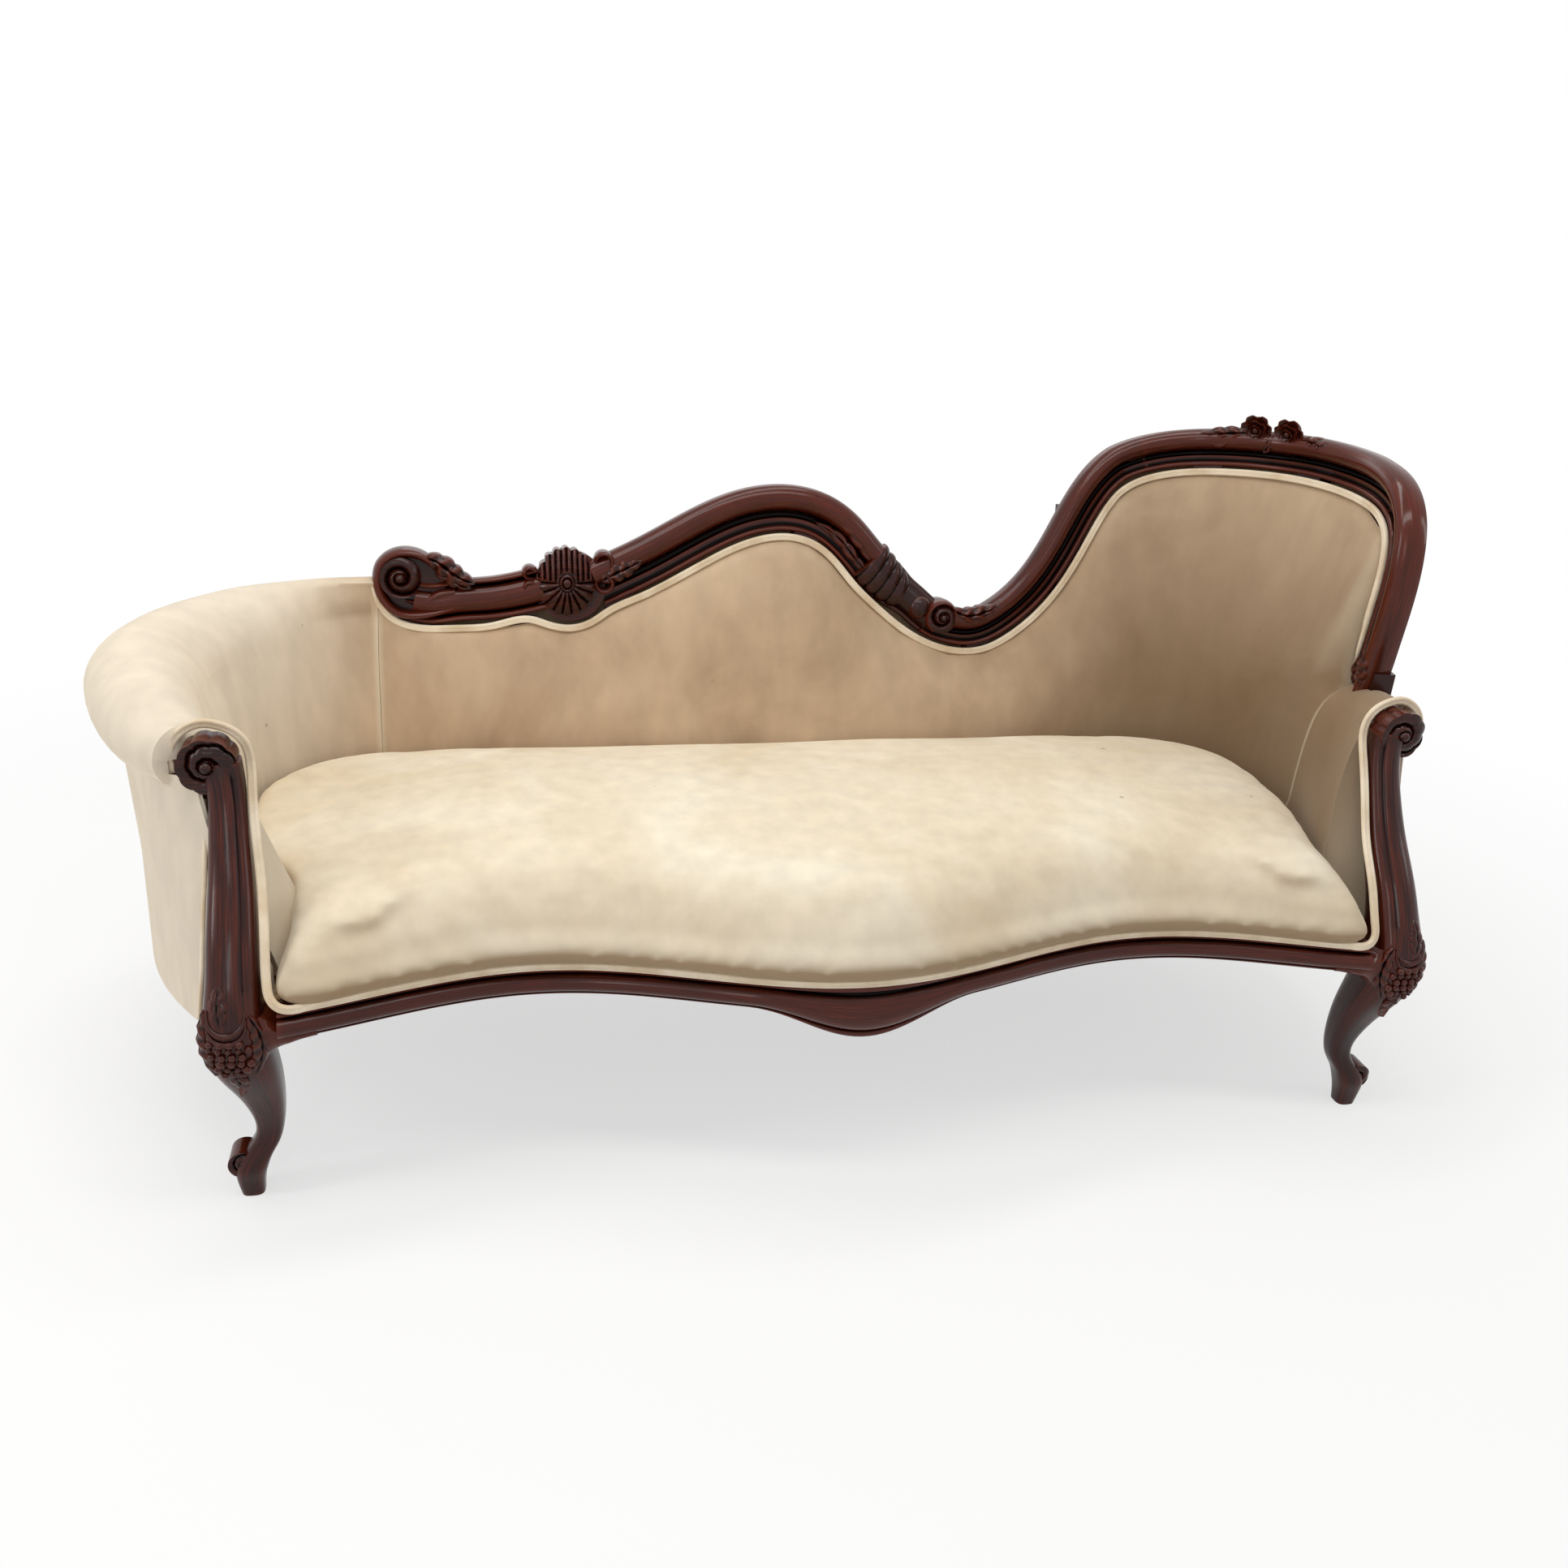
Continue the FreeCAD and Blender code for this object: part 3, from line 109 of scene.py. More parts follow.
def on_circle(x, y, radius, angle):
    """Point, heading and outward normal on a bend walked clockwise from above."""
    normal = Vector((math.cos(angle), math.sin(angle), 0))
    heading = Vector((math.sin(angle), -math.cos(angle), 0))
    return Vector((x, y, 0)) + normal * radius, heading, normal


def frame_line(station):
    """Point, heading and outward normal of the frame line."""
    if station < LEFT_BEND:
        angle = math.pi + (LEFT_BEND - station) / LEFT_RADIUS
        return on_circle(LEFT_RADIUS - LEFT_REACH, BEND_DEPTH, LEFT_RADIUS, angle)
    if station < BACK_LEFT:
        angle = math.pi - (station - LEFT_BEND) / CORNER
        return on_circle(BACK_LEFT, BEND_DEPTH, CORNER, angle)
    if station <= BACK_RIGHT:
        return Vector((station, BACK_DEPTH, 0)), Vector((1, 0, 0)), Vector((0, 1, 0))
    if station < RIGHT_BEND:
        angle = math.pi / 2 - (station - BACK_RIGHT) / CORNER
        return on_circle(BACK_RIGHT, BEND_DEPTH, CORNER, angle)
    angle = -(station - RIGHT_BEND) / RIGHT_RADIUS
    return on_circle(RIGHT_REACH - RIGHT_RADIUS, BEND_DEPTH, RIGHT_RADIUS, angle)


def between(station, table):
    """Straight line interpolation in a table of (station, value)."""
    marks, values = zip(*table)
    return float(np.interp(station, marks, values))


LEANS = [(LEFT_POST, 0), (LEFT_BEND, 0.10), (BACK_LEFT, 0.12), (BACK_RIGHT, 0.12),
         (RIGHT_BEND, 0.05), (RIGHT_POST, 0)]
PADDINGS = [(LEFT_POST, 84), (LEFT_BEND, 96), (BACK_LEFT, 62), (BACK_RIGHT, 82),
            (RIGHT_POST, 82)]


def on_wall(station, height, offset):
    """Point of the leaning back or arm, offset outwards from the frame line."""
    point, _, normal = frame_line(station)
    lean = between(station, LEANS) * max(0, height - LEAN_HEIGHT)
    place = point + normal * (lean + offset)
    place.z = height
    return place


def smooth_line(marks, count, first=0, last=None, measured=2):
    """Evenly spaced rows of a smooth line through the marks, between two of them."""
    rows = np.array(marks, float)
    gaps = np.linalg.norm(np.diff(rows[:, :measured], axis=0), axis=1)
    knots = np.concatenate(([0.0], np.cumsum(gaps)))
    system = np.eye(len(rows))
    right = np.zeros_like(rows)
    for i in range(1, len(rows) - 1):
        before, after = gaps[i - 1], gaps[i]
        system[i, i - 1:i + 2] = before / 6, (before + after) / 3, after / 6
        right[i] = (rows[i + 1] - rows[i]) / after - (rows[i] - rows[i - 1]) / before
    bends = np.linalg.solve(system, right)
    stop = len(gaps) if last is None else last
    found = []
    for place in np.linspace(knots[first], knots[stop], count):
        i = min(int(np.searchsorted(knots, place, side="right")) - 1, len(gaps) - 1)
        low = (knots[i + 1] - place) / gaps[i]
        high = 1 - low
        row = low * rows[i] + high * rows[i + 1]
        row += ((low ** 3 - low) * bends[i] + (high ** 3 - high) * bends[i + 1]) * gaps[i] ** 2 / 6
        found.append(row)
    return np.array(found)


# Skins

def skin(rings):
    """Closed skin through rings of points; its grain map is metres along and around."""
    count = len(rings[0])
    points = [point for ring in rings for point in ring]
    middles = [sum(ring, Vector()) / count for ring in rings]
    along = [0.0]
    for before, after in zip(middles, middles[1:]):
        along.append(along[-1] + (after - before).length * MM)
    around = [0.0]
    widest = rings[len(rings) // 2]
    for j in range(count):
        around.append(around[-1] + (widest[(j + 1) % count] - widest[j]).length * MM)
    faces = []
    grain = []
    for i in range(len(rings) - 1):
        for j in range(count):
            k = (j + 1) % count
            faces.append((i * count + j, i * count + k, i * count + k + count, i * count + j + count))
            grain.append(((along[i], around[j]), (along[i], around[j + 1]),
                          (along[i + 1], around[j + 1]), (along[i + 1], around[j])))
    for i in (0, len(rings) - 1):
        faces.append(tuple(i * count + j for j in range(count)))
        grain.append(tuple((along[i], around[j]) for j in range(count)))
    return points, faces, grain


def piece(name, skins, extras=()):
    """A new piece made of several skins and of small bodies that are joined to it."""
    points = []
    faces = []
    grain = []
    for skin_points, skin_faces, skin_grain in skins:
        base = len(points)
        points += [world(point) for point in skin_points]
        faces += [tuple(base + corner for corner in face) for face in skin_faces]
        grain += skin_grain
    mesh = bpy.data.meshes.new(name)
    mesh.from_pydata(points, [], faces)
    layer = mesh.uv_layers.new(name="grain")
    layer.data.foreach_set("uv", [part for face in grain for corner in face for part in corner])
    made = bpy.data.objects.new(name, mesh)
    bpy.context.scene.collection.objects.link(made)
    face_outwards(made)
    if extras:
        join(made, extras)
    return made


def face_outwards(made, merge=0):
    """Merge points this near to one another and turn every closed skin's normals outwards."""
    body = bmesh.new()
    body.from_mesh(made.data)
    if merge:
        bmesh.ops.remove_doubles(body, verts=body.verts, dist=merge)
    bmesh.ops.recalc_face_normals(body, faces=body.faces)
    body.to_mesh(made.data)
    body.free()


def pick(*pieces):
    """Select these pieces alone, the first one active."""
    bpy.ops.object.select_all(action="DESELECT")
    for made in pieces:
        made.select_set(True)
    bpy.context.view_layer.objects.active = pieces[0]


def join(made, extras):
    """Join small bodies to a piece."""
    for extra in extras:
        if not extra.data.uv_layers:
            extra.data.uv_layers.new(name="grain")
        extra.data.uv_layers[0].name = "grain"
    pick(made, *extras)
    bpy.ops.object.join()


def apply_all(made):
    """Apply a piece's modifiers in their order."""
    pick(made)
    for modifier in list(made.modifiers):
        bpy.ops.object.modifier_apply(modifier=modifier.name)


def dress(made, material, nodes=(), crease=38):
    """Give a finished piece its material, shading and body, and hide the nodes it stands for."""
    made.data.materials.clear()
    made.data.materials.append(material)
    pick(made)
    bpy.ops.object.shade_smooth_by_angle(angle=math.radians(crease))
    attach(made, "root")
    if nodes:
        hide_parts(*nodes)
    return made


def mark_hollows(made, spread):
    """Keep how far each point lies under (1) or over (-1) its neighbourhood."""
    mesh = made.data
    count = len(mesh.vertices)
    places = np.empty(count * 3)
    mesh.vertices.foreach_get("co", places)
    places = places.reshape(-1, 3)
    normals = np.empty(count * 3)
    mesh.vertices.foreach_get("normal", normals)
    normals = normals.reshape(-1, 3)
    ends = np.empty(len(mesh.edges) * 2, int)
    mesh.edges.foreach_get("vertices", ends)
    first, last = ends.reshape(-1, 2).T
    reach = np.linalg.norm(places[first] - places[last], axis=1)
    weight = 1 / (reach + 0.0005) ** 2
    total = np.bincount(first, weight, count) + np.bincount(last, weight, count)
    flat = places.copy()
    for _ in range(8):
        for axis in range(3):
            pull = np.bincount(first, weight * flat[last, axis], count)
            pull += np.bincount(last, weight * flat[first, axis], count)
            flat[:, axis] = 0.4 * flat[:, axis] + 0.6 * pull / np.maximum(total, 1e-9)
    depth = ((flat - places) * normals).sum(axis=1) / (spread * MM)
    kept = mesh.attributes.new("hollow", "FLOAT", "POINT")
    kept.data.foreach_set("value", np.clip(depth, -1, 1).astype(np.float32))


# Camera, lights and floor

CAMERA_PLACE = (-497.1, -1671.3, 1312.3)
CAMERA_YAW = math.radians(12.5)
CAMERA_PITCH = math.radians(22.2)
CAMERA_ROLL = math.radians(3.2)
FOCAL_PIXELS = 1766
PHOTO_PIXELS = 1932
FILM_WIDTH = 36


def set_camera():
    """Camera where the photographer stood, from the couch's known points."""
    look = Vector((math.sin(CAMERA_YAW) * math.cos(CAMERA_PITCH),
                   math.cos(CAMERA_YAW) * math.cos(CAMERA_PITCH), -math.sin(CAMERA_PITCH)))
    level = Vector((math.cos(CAMERA_YAW), -math.sin(CAMERA_YAW), 0))
    upright = level.cross(look)
    side = level * math.cos(CAMERA_ROLL) + upright * math.sin(CAMERA_ROLL)
    top = upright * math.cos(CAMERA_ROLL) - level * math.sin(CAMERA_ROLL)
    lens = bpy.data.cameras.new("photo_camera")
    lens.sensor_width = FILM_WIDTH
    lens.lens = FILM_WIDTH * FOCAL_PIXELS / PHOTO_PIXELS
    lens.shift_x = 0.0028
    lens.shift_y = -0.0143
    lens.clip_start = 0.05
    camera = bpy.data.objects.new("photo_camera", lens)
    bpy.context.scene.collection.objects.link(camera)
    turn = Matrix((side, top, -look)).transposed()
    camera.matrix_world = Matrix.Translation(world(CAMERA_PLACE)) @ turn.to_4x4()
    bpy.context.scene.camera = camera


def hex_colour(code):
    """Linear colour from an sRGB hex value."""
    parts = [int(code[i:i + 2], 16) / 255 for i in (1, 3, 5)]
    return (*[part / 12.92 if part <= 0.04045 else ((part + 0.055) / 1.055) ** 2.4
              for part in parts], 1.0)


def feed(socket, value):
    """Give a socket a value or a hex colour, or link a socket or a node's main output to it."""
    if isinstance(value, bpy.types.Node):
        value = value.outputs[2 if value.bl_idname == "ShaderNodeMix" else 0]
    if isinstance(value, bpy.types.NodeSocket):
        socket.id_data.links.new(value, socket)
    else:
        socket.default_value = hex_colour(value) if isinstance(value, str) else value


def add(tree, kind, links=None, stops=None, **settings):
    """Add a node with its settings, its ramp stops and its input values or links."""
    made = tree.nodes.new("ShaderNode" + kind)
    for name, value in settings.items():
        setattr(made, name, value)
    if stops:
        ramp = made.color_ramp.elements
        while len(ramp) < len(stops):
            ramp.new(1)
        for element, (place, colour) in zip(ramp, stops):
            element.position = place
            element.color = hex_colour(colour)
    for name, value in (links or {}).items():
        feed(made.inputs[name], value)
    return made


def seen_rays(tree):
    """1 for rays that the eye, a polished surface or glass sends out, else 0."""
    ray = add(tree, "LightPath").outputs
    direct = add(tree, "Math", operation="MAXIMUM",
                 links={0: ray["Is Camera Ray"], 1: ray["Is Glossy Ray"]})
    return add(tree, "Math", operation="MAXIMUM",
               links={0: direct, 1: ray["Is Transmission Ray"]})


def studio():
    """White surroundings for the eye and for polish, softer light on the couch."""
    scene = bpy.context.scene
    scene.view_settings.view_transform = "Standard"
    scene.world = bpy.data.worlds.new("studio")
    scene.world.use_nodes = True
    tree = scene.world.node_tree
    tree.nodes.clear()
    strength = add(tree, "MapRange", links={
        "Value": seen_rays(tree), "To Min": 0.42, "To Max": 1.0})
    light = add(tree, "Background",
                links={"Color": "#FFFFFF", "Strength": strength})
    add(tree, "OutputWorld", links={"Surface": light})
    for name, place, target, wide, tall, power, tint in (
            ("ceiling_front", (-0.2, -0.9, 3.0), (0, 0, 0.4), 2.8, 0.5, 27, (1, 0.985, 0.96)),
            ("ceiling_back", (-0.2, 0.5, 3.1), (0, 0, 0.4), 2.8, 0.5, 25, (1, 0.985, 0.96)),
            ("left_window", (-3.0, -0.7, 1.9), (-0.4, 0, 0.5), 0.5, 1.5, 20, (0.98, 0.99, 1)),
            ("front_lamp", (-1.2, -3.0, 2.1), (0, 0, 0.5), 0.35, 1.1, 6, (1, 1, 1)),
            ("right_lamp", (3.0, -1.0, 1.9), (0.3, 0, 0.5), 0.35, 1.2, 7, (1, 1, 1)),
            ("back_lamp", (0.4, 3.0, 2.4), (0, 0, 0.5), 2.4, 1.0, 12, (1, 1, 1))):
        lamp = bpy.data.lights.new(name, "AREA")
        lamp.shape = "RECTANGLE"
        lamp.size = wide
        lamp.size_y = tall
        lamp.energy = power
        lamp.color = tint
        holder = bpy.data.objects.new(name, lamp)
        scene.collection.objects.link(holder)
        holder.location = place
        aim = Vector(target) - Vector(place)
        holder.rotation_euler = aim.to_track_quat("-Z", "Y").to_euler()


def new_material(name):
    """Empty node material with its shader."""
    material = bpy.data.materials.new(name)
    material.use_nodes = True
    tree = material.node_tree
    return material, tree, tree.nodes["Principled BSDF"]


def shine(shader, **values):
    """Feed a shader by socket name, with underscores for spaces."""
    for name, value in values.items():
        feed(shader.inputs[name.replace("_", " ")], value)


def settle_transform(name):
    """Name the body just added and move its place and size into its mesh."""
    made = bpy.context.active_object
    made.name = name
    pick(made)
    bpy.ops.object.transform_apply(location=True, rotation=True, scale=True)
    return made


def white_floor():
    """Plain white floor that keeps the couch's shadow and fades out into the surroundings."""
    bpy.ops.mesh.primitive_plane_add(size=30, location=(0, 0, 0))
    floor = settle_transform("studio_floor")
    material, tree, shader = new_material("white_studio_floor")
    shine(shader, Base_Color="#FAFAF9", Roughness=0.9, Specular_IOR_Level=0.1)
    place = add(tree, "TexCoord").outputs["Object"]
    away = add(tree, "VectorMath", operation="LENGTH", links={0: place})
    fade = add(tree, "MapRange", interpolation_type="SMOOTHSTEP", links={
        "Value": away.outputs["Value"], "From Min": 0.8, "From Max": 2.6,
        "To Min": 0.62, "To Max": 1.0})
    share = add(tree, "Math", operation="MULTIPLY", links={0: seen_rays(tree), 1: fade})
    white = add(tree, "Emission", links={"Color": "#FFFFFF", "Strength": 1.0})
    blend = add(tree, "MixShader", links={0: share, 1: shader, 2: white})
    feed(tree.nodes["Material Output"].inputs["Surface"], blend)
    floor.data.materials.append(material)


# Materials

def polished_mahogany():
    """Mahogany, stained and french polished long ago: deep red where the light falls,
    nearly black polish, dust and painted shade in the carving, and worn thin and red on the ridges."""
    material, tree, shader = new_material("polished_mahogany")
    along = add(tree, "UVMap", uv_map="grain")
    fibre_scale = add(tree, "Mapping",
                      links={"Vector": along, "Scale": (14, 330, 1)})
    fibres = add(tree, "TexNoise", links={
        "Vector": fibre_scale, "Scale": 1.0, "Detail": 5.0, "Distortion": 0.35})
    grain = add(tree, "ValToRGB", links={"Fac": fibres}, stops=[
        (0.34, "#200906"), (0.52, "#36110A"),
        (0.70, "#5C200F")])
    place = add(tree, "TexCoord").outputs["Object"]
    patches = add(tree, "TexNoise", links={
        "Vector": place, "Scale": 7.0, "Detail": 3.0})
    patch_share = add(tree, "MapRange", links={
        "Value": patches, "From Min": 0.42, "From Max": 0.68, "To Max": 0.75})
    aged = add(tree, "Mix", data_type="RGBA", links={
        0: patch_share, 6: grain, 7: "#170806"})
    # Hollows of the carving turn nearly black: partly dust, partly painted shade.
    hollow = add(tree, "Attribute", attribute_name="hollow").outputs["Fac"]
    deep = add(tree, "MapRange", links={
        "Value": hollow, "From Min": 0.0, "From Max": 0.35, "To Max": 0.97})
    dust_and_shade = add(tree, "Mix", data_type="RGBA", links={
        0: deep, 6: aged, 7: "#060303"})
    ridge = add(tree, "MapRange", links={
        "Value": hollow, "From Min": -0.15, "From Max": -0.9, "To Max": 0.45})
    rubbed = add(tree, "Mix", data_type="RGBA", links={
        0: ridge, 6: dust_and_shade, 7: "#6C2813"})
    polish = add(tree, "MapRange", links={
        "Value": patches, "From Min": 0.3, "From Max": 0.7,
        "To Min": 0.17, "To Max": 0.30})
    ripple = add(tree, "TexNoise", links={
        "Vector": place, "Scale": 70.0, "Detail": 2.0})
    worked = add(tree, "Bump", links={
        "Height": ripple, "Strength": 0.25, "Distance": 0.0009})
    pores = add(tree, "Bump", links={
        "Height": fibres, "Strength": 0.12, "Distance": 0.0004,
        "Normal": worked})
    dulled = add(tree, "MapRange", links={
        "Value": hollow, "From Min": 0.0, "From Max": 0.3,
        "To Min": 0.24, "To Max": 0.04})
    shine(shader, Base_Color=rubbed, Roughness=polish, Normal=pores, Specular_IOR_Level=dulled,
          IOR=1.5, Coat_Weight=0.07, Coat_Roughness=0.06)
    return material


def worn_velvet(name, pale, deep, sheen, front_shade=0.0, painted_shade=0.0, left_light=0.0):
    """Cotton velvet, worn: its brushed pile gives cloudy patches, a soft light rim and small marks of
    use.
    Painted light makes it lighter towards the left end; painted shade darkens it where it stands
    upright and faces forward, towards the high end's low corner and in its creases."""
    material, tree, shader = new_material(name)
    place = add(tree, "TexCoord").outputs["Object"]
    clouds = add(tree, "TexNoise", links={
        "Vector": place, "Scale": 4.2, "Detail": 5.0, "Roughness": 0.55,
        "Distortion": 0.6})
    faded = add(tree, "ValToRGB", links={"Fac": clouds}, stops=[
        (0.32, deep), (0.66, pale)])
    parts = add(tree, "SeparateXYZ", links={0: place})
    # Painted light: the cloth turns lighter towards the left end, as if lit from the left.
    left_light_share = add(tree, "MapRange", interpolation_type="SMOOTHSTEP", links={
        "Value": parts.outputs["X"], "From Min": -0.58, "From Max": -0.80, "To Max": left_light})
    left_lit = add(tree, "Mix", data_type="RGBA", links={
        0: left_light_share, 6: faded, 7: "#E8DDCB"})
    brushed_scale = add(tree, "Mapping", links={
        "Vector": place, "Scale": (30, 30, 9)})
    brushed = add(tree, "TexNoise", links={
        "Vector": brushed_scale, "Scale": 1.0, "Detail": 4.0})
    brushed_tone = add(tree, "MapRange", links={
        "Value": brushed, "From Min": 0.3, "From Max": 0.7,
        "To Min": 0.93, "To Max": 1.06})
    nap = add(tree, "VectorMath", operation="SCALE", links={
        0: left_lit, "Scale": brushed_tone})
    # Painted shade: upright faces that look forward turn darker, as the light from above leaves them
    # in shade.
    facing = add(tree, "NewGeometry")
    facing_parts = add(tree, "SeparateXYZ", links={0: facing.outputs["Normal"]})
    steep = add(tree, "MapRange", links={
        "Value": facing_parts.outputs["Z"], "From Min": 1.0, "From Max": 0.1})
    forward = add(tree, "MapRange", links={
        "Value": facing_parts.outputs["Y"], "From Min": 0.1, "From Max": -0.6})
    upright = add(tree, "Math", operation="MULTIPLY", links={
        0: steep, 1: forward})
    front_shade_share = add(tree, "Math", operation="MULTIPLY", links={
        0: upright, 1: front_shade})
    front_shaded = add(tree, "Mix", data_type="RGBA", links={
        0: front_shade_share, 6: nap, 7: "#94795A"})
    # Painted shade: darker towards the lower corner of the high end.
    high_end = add(tree, "MapRange", interpolation_type="SMOOTHSTEP", links={
        "Value": parts.outputs["X"], "From Min": 0.30, "From Max": 0.90})
    low_down = add(tree, "MapRange", interpolation_type="SMOOTHSTEP", links={
        "Value": parts.outputs["Z"], "From Min": 0.95, "From Max": 0.45, "To Min": 0.25})
    corner_shade_place = add(tree, "Math", operation="MULTIPLY", links={
        0: high_end, 1: low_down})
    corner_shade_share = add(tree, "Math", operation="MULTIPLY", links={
        0: corner_shade_place, 1: painted_shade})
    corner_shaded = add(tree, "Mix", data_type="RGBA", links={
        0: corner_shade_share, 6: front_shaded, 7: "#6B533A"})
    marks = add(tree, "TexVoronoi", links={
        "Vector": place, "Scale": 17.0, "Randomness": 1.0})
    mark_kind = add(tree, "SeparateColor", links={0: marks.outputs["Color"]})
    mark_size = add(tree, "MapRange", links={
        "Value": mark_kind, "From Min": 0.55, "From Max": 1.0,
        "To Min": 0.0, "To Max": 0.085})
    mark_edge = add(tree, "Math", operation="SUBTRACT", links={
        0: mark_size, 1: marks.outputs["Distance"]})
    mark_share = add(tree, "MapRange", links={
        "Value": mark_edge, "From Min": 0.0, "From Max": 0.03, "To Max": 0.5})
    marked = add(tree, "Mix", data_type="RGBA", links={
        0: mark_share, 6: corner_shaded, 7: "#7C6648"})
    # Painted shade: hollows of the cloth, its creases and tucks, turn darker; ridges turn lighter
    # below as the pile rubs thin.
    shade_and_wear = add(tree, "Attribute", attribute_name="hollow").outputs["Fac"]
    tucked = add(tree, "MapRange", links={
        "Value": shade_and_wear, "From Min": 0.04, "From Max": 0.6, "To Max": 0.75})
    crease_shaded = add(tree, "Mix", data_type="RGBA", links={
        0: tucked, 6: marked, 7: "#7A6245"})
    rubbed = add(tree, "MapRange", links={
        "Value": shade_and_wear, "From Min": -0.1, "From Max": -0.9, "To Max": 0.45})
    bared = add(tree, "Mix", data_type="RGBA", links={
        0: rubbed, 6: crease_shaded, 7: "#EADFC6"})
    pile = add(tree, "TexNoise", links={
        "Vector": place, "Scale": 620.0, "Detail": 2.0})
    soft = add(tree, "Bump", links={
        "Height": clouds, "Strength": 0.35, "Distance": 0.010})
    fine = add(tree, "Bump", links={
        "Height": pile, "Strength": 0.30, "Distance": 0.0007,
        "Normal": soft})
    shine(shader, Base_Color=bared, Normal=fine, Roughness=0.88, Specular_IOR_Level=0.18,
          Sheen_Weight=sheen, Sheen_Roughness=0.42, Sheen_Tint="#FFF3DC")
    return material


def covered_cord():
    """Cotton twill wound on the bias over two cords: cream, with fine slanting ribs."""
    material, tree, shader = new_material("bias_twill_piping")
    along = add(tree, "UVMap", uv_map="grain")
    ribs = add(tree, "TexWave", bands_direction="DIAGONAL", links={
        "Vector": along, "Scale": 150.0, "Distortion": 0.6, "Detail": 1.0})
    place = add(tree, "TexCoord").outputs["Object"]
    soil = add(tree, "TexNoise", links={
        "Vector": place, "Scale": 16.0, "Detail": 4.0})
    base = add(tree, "ValToRGB", links={"Fac": soil}, stops=[
        (0.34, "#DCC5A5"), (0.62, "#F4E4CB")])
    shade = add(tree, "MapRange", links={
        "Value": ribs.outputs["Fac"], "To Min": 0.90, "To Max": 1.02})
    ribbed = add(tree, "VectorMath", operation="SCALE", links={
        0: base, "Scale": shade})
    # Painted shade: the groove between the two cords and other hollows turn darker.
    hollow = add(tree, "Attribute", attribute_name="hollow").outputs["Fac"]
    deep = add(tree, "MapRange", links={
        "Value": hollow, "From Min": 0.05, "From Max": 0.7, "To Max": 0.6})
    painted_shade = add(tree, "Mix", data_type="RGBA", links={
        0: deep, 6: ribbed, 7: "#8F7450"})
    raised = add(tree, "Bump", links={
        "Height": ribs.outputs["Fac"], "Strength": 0.4, "Distance": 0.0005})
    shine(shader, Base_Color=painted_shade, Normal=raised, Roughness=0.82, Specular_IOR_Level=0.2,
          Sheen_Weight=0.2)
    return material


def sawn_beech():
    """Beech left from the saw: pale pinkish brown with short dark flecks."""
    material, tree, shader = new_material("sawn_beech")
    place = add(tree, "TexCoord").outputs["Object"]
    stretched = add(tree, "Mapping", links={
        "Vector": place, "Scale": (12, 150, 150)})
    flecks = add(tree, "TexNoise", links={
        "Vector": stretched, "Scale": 1.0, "Detail": 5.0, "Distortion": 0.3})
    tone = add(tree, "ValToRGB", links={"Fac": flecks}, stops=[
        (0.36, "#8E6A45"), (0.50, "#B48D62"),
        (0.66, "#C7A378")])
    sawn = add(tree, "Bump", links={
        "Height": flecks, "Strength": 0.4, "Distance": 0.0008})
    shine(shader, Base_Color=tone, Normal=sawn, Roughness=0.72)
    return material


def coppered_steel():
    """Drawn spring wire with a copper wash, dulled and rusted in spots."""
    material, tree, shader = new_material("coppered_spring_steel")
    place = add(tree, "TexCoord").outputs["Object"]
    spots = add(tree, "TexNoise", links={
        "Vector": place, "Scale": 90.0, "Detail": 4.0})
    tone = add(tree, "ValToRGB", links={"Fac": spots}, stops=[
        (0.40, "#5A3420"), (0.58, "#A5714E")])
    dull = add(tree, "MapRange", links={
        "Value": spots, "To Min": 0.65, "To Max": 0.3})
    shine(shader, Base_Color=tone, Roughness=dull, Metallic=1.0)
    return material


def plain_weave(name, pale, dark, threads, depth):
    """Plain woven cloth, drawn with this many threads to a metre each way."""
    material, tree, shader = new_material(name)
    place = add(tree, "TexCoord").outputs["Object"]
    warp = add(tree, "TexWave", bands_direction="X", links={
        "Vector": place, "Scale": threads / 20, "Distortion": 0.4,
        "Detail": 1.0})
    weft = add(tree, "TexWave", bands_direction="Y", links={
        "Vector": place, "Scale": threads / 20, "Distortion": 0.4,
        "Detail": 1.0})
    crossed = add(tree, "Math", operation="MULTIPLY", links={
        0: warp.outputs["Fac"], 1: weft.outputs["Fac"]})
    slubs = add(tree, "TexNoise", links={
        "Vector": place, "Scale": 40.0, "Detail": 4.0})
    mixed = add(tree, "Math", operation="MULTIPLY_ADD", links={
        0: crossed, 1: 0.45, 2: slubs})
    tone = add(tree, "ValToRGB", links={"Fac": mixed}, stops=[
        (0.40, dark), (0.85, pale)])
    woven = add(tree, "Bump", links={
        "Height": crossed, "Strength": 0.5, "Distance": depth})
    shine(shader, Base_Color=tone, Normal=woven, Roughness=0.92, Specular_IOR_Level=0.15)
    return material


def curled_horsehair():
    """Curled horsehair stuffing: a springy mat of dark brown and grey hairs."""
    material, tree, shader = new_material("curled_horsehair")
    place = add(tree, "TexCoord").outputs["Object"]
    curls = add(tree, "TexNoise", links={
        "Vector": place, "Scale": 140.0, "Detail": 6.0, "Distortion": 3.5})
    tone = add(tree, "ValToRGB", links={"Fac": curls}, stops=[
        (0.38, "#1D1510"), (0.55, "#4B3A2C"),
        (0.68, "#7E6B58")])
    matted = add(tree, "Bump", links={
        "Height": curls, "Strength": 1.0, "Distance": 0.004})
    shine(shader, Base_Color=tone, Normal=matted, Roughness=0.95, Specular_IOR_Level=0.2)
    return material


# Crest rail
# Each row is the station and height of the moulding's middle and its face width.

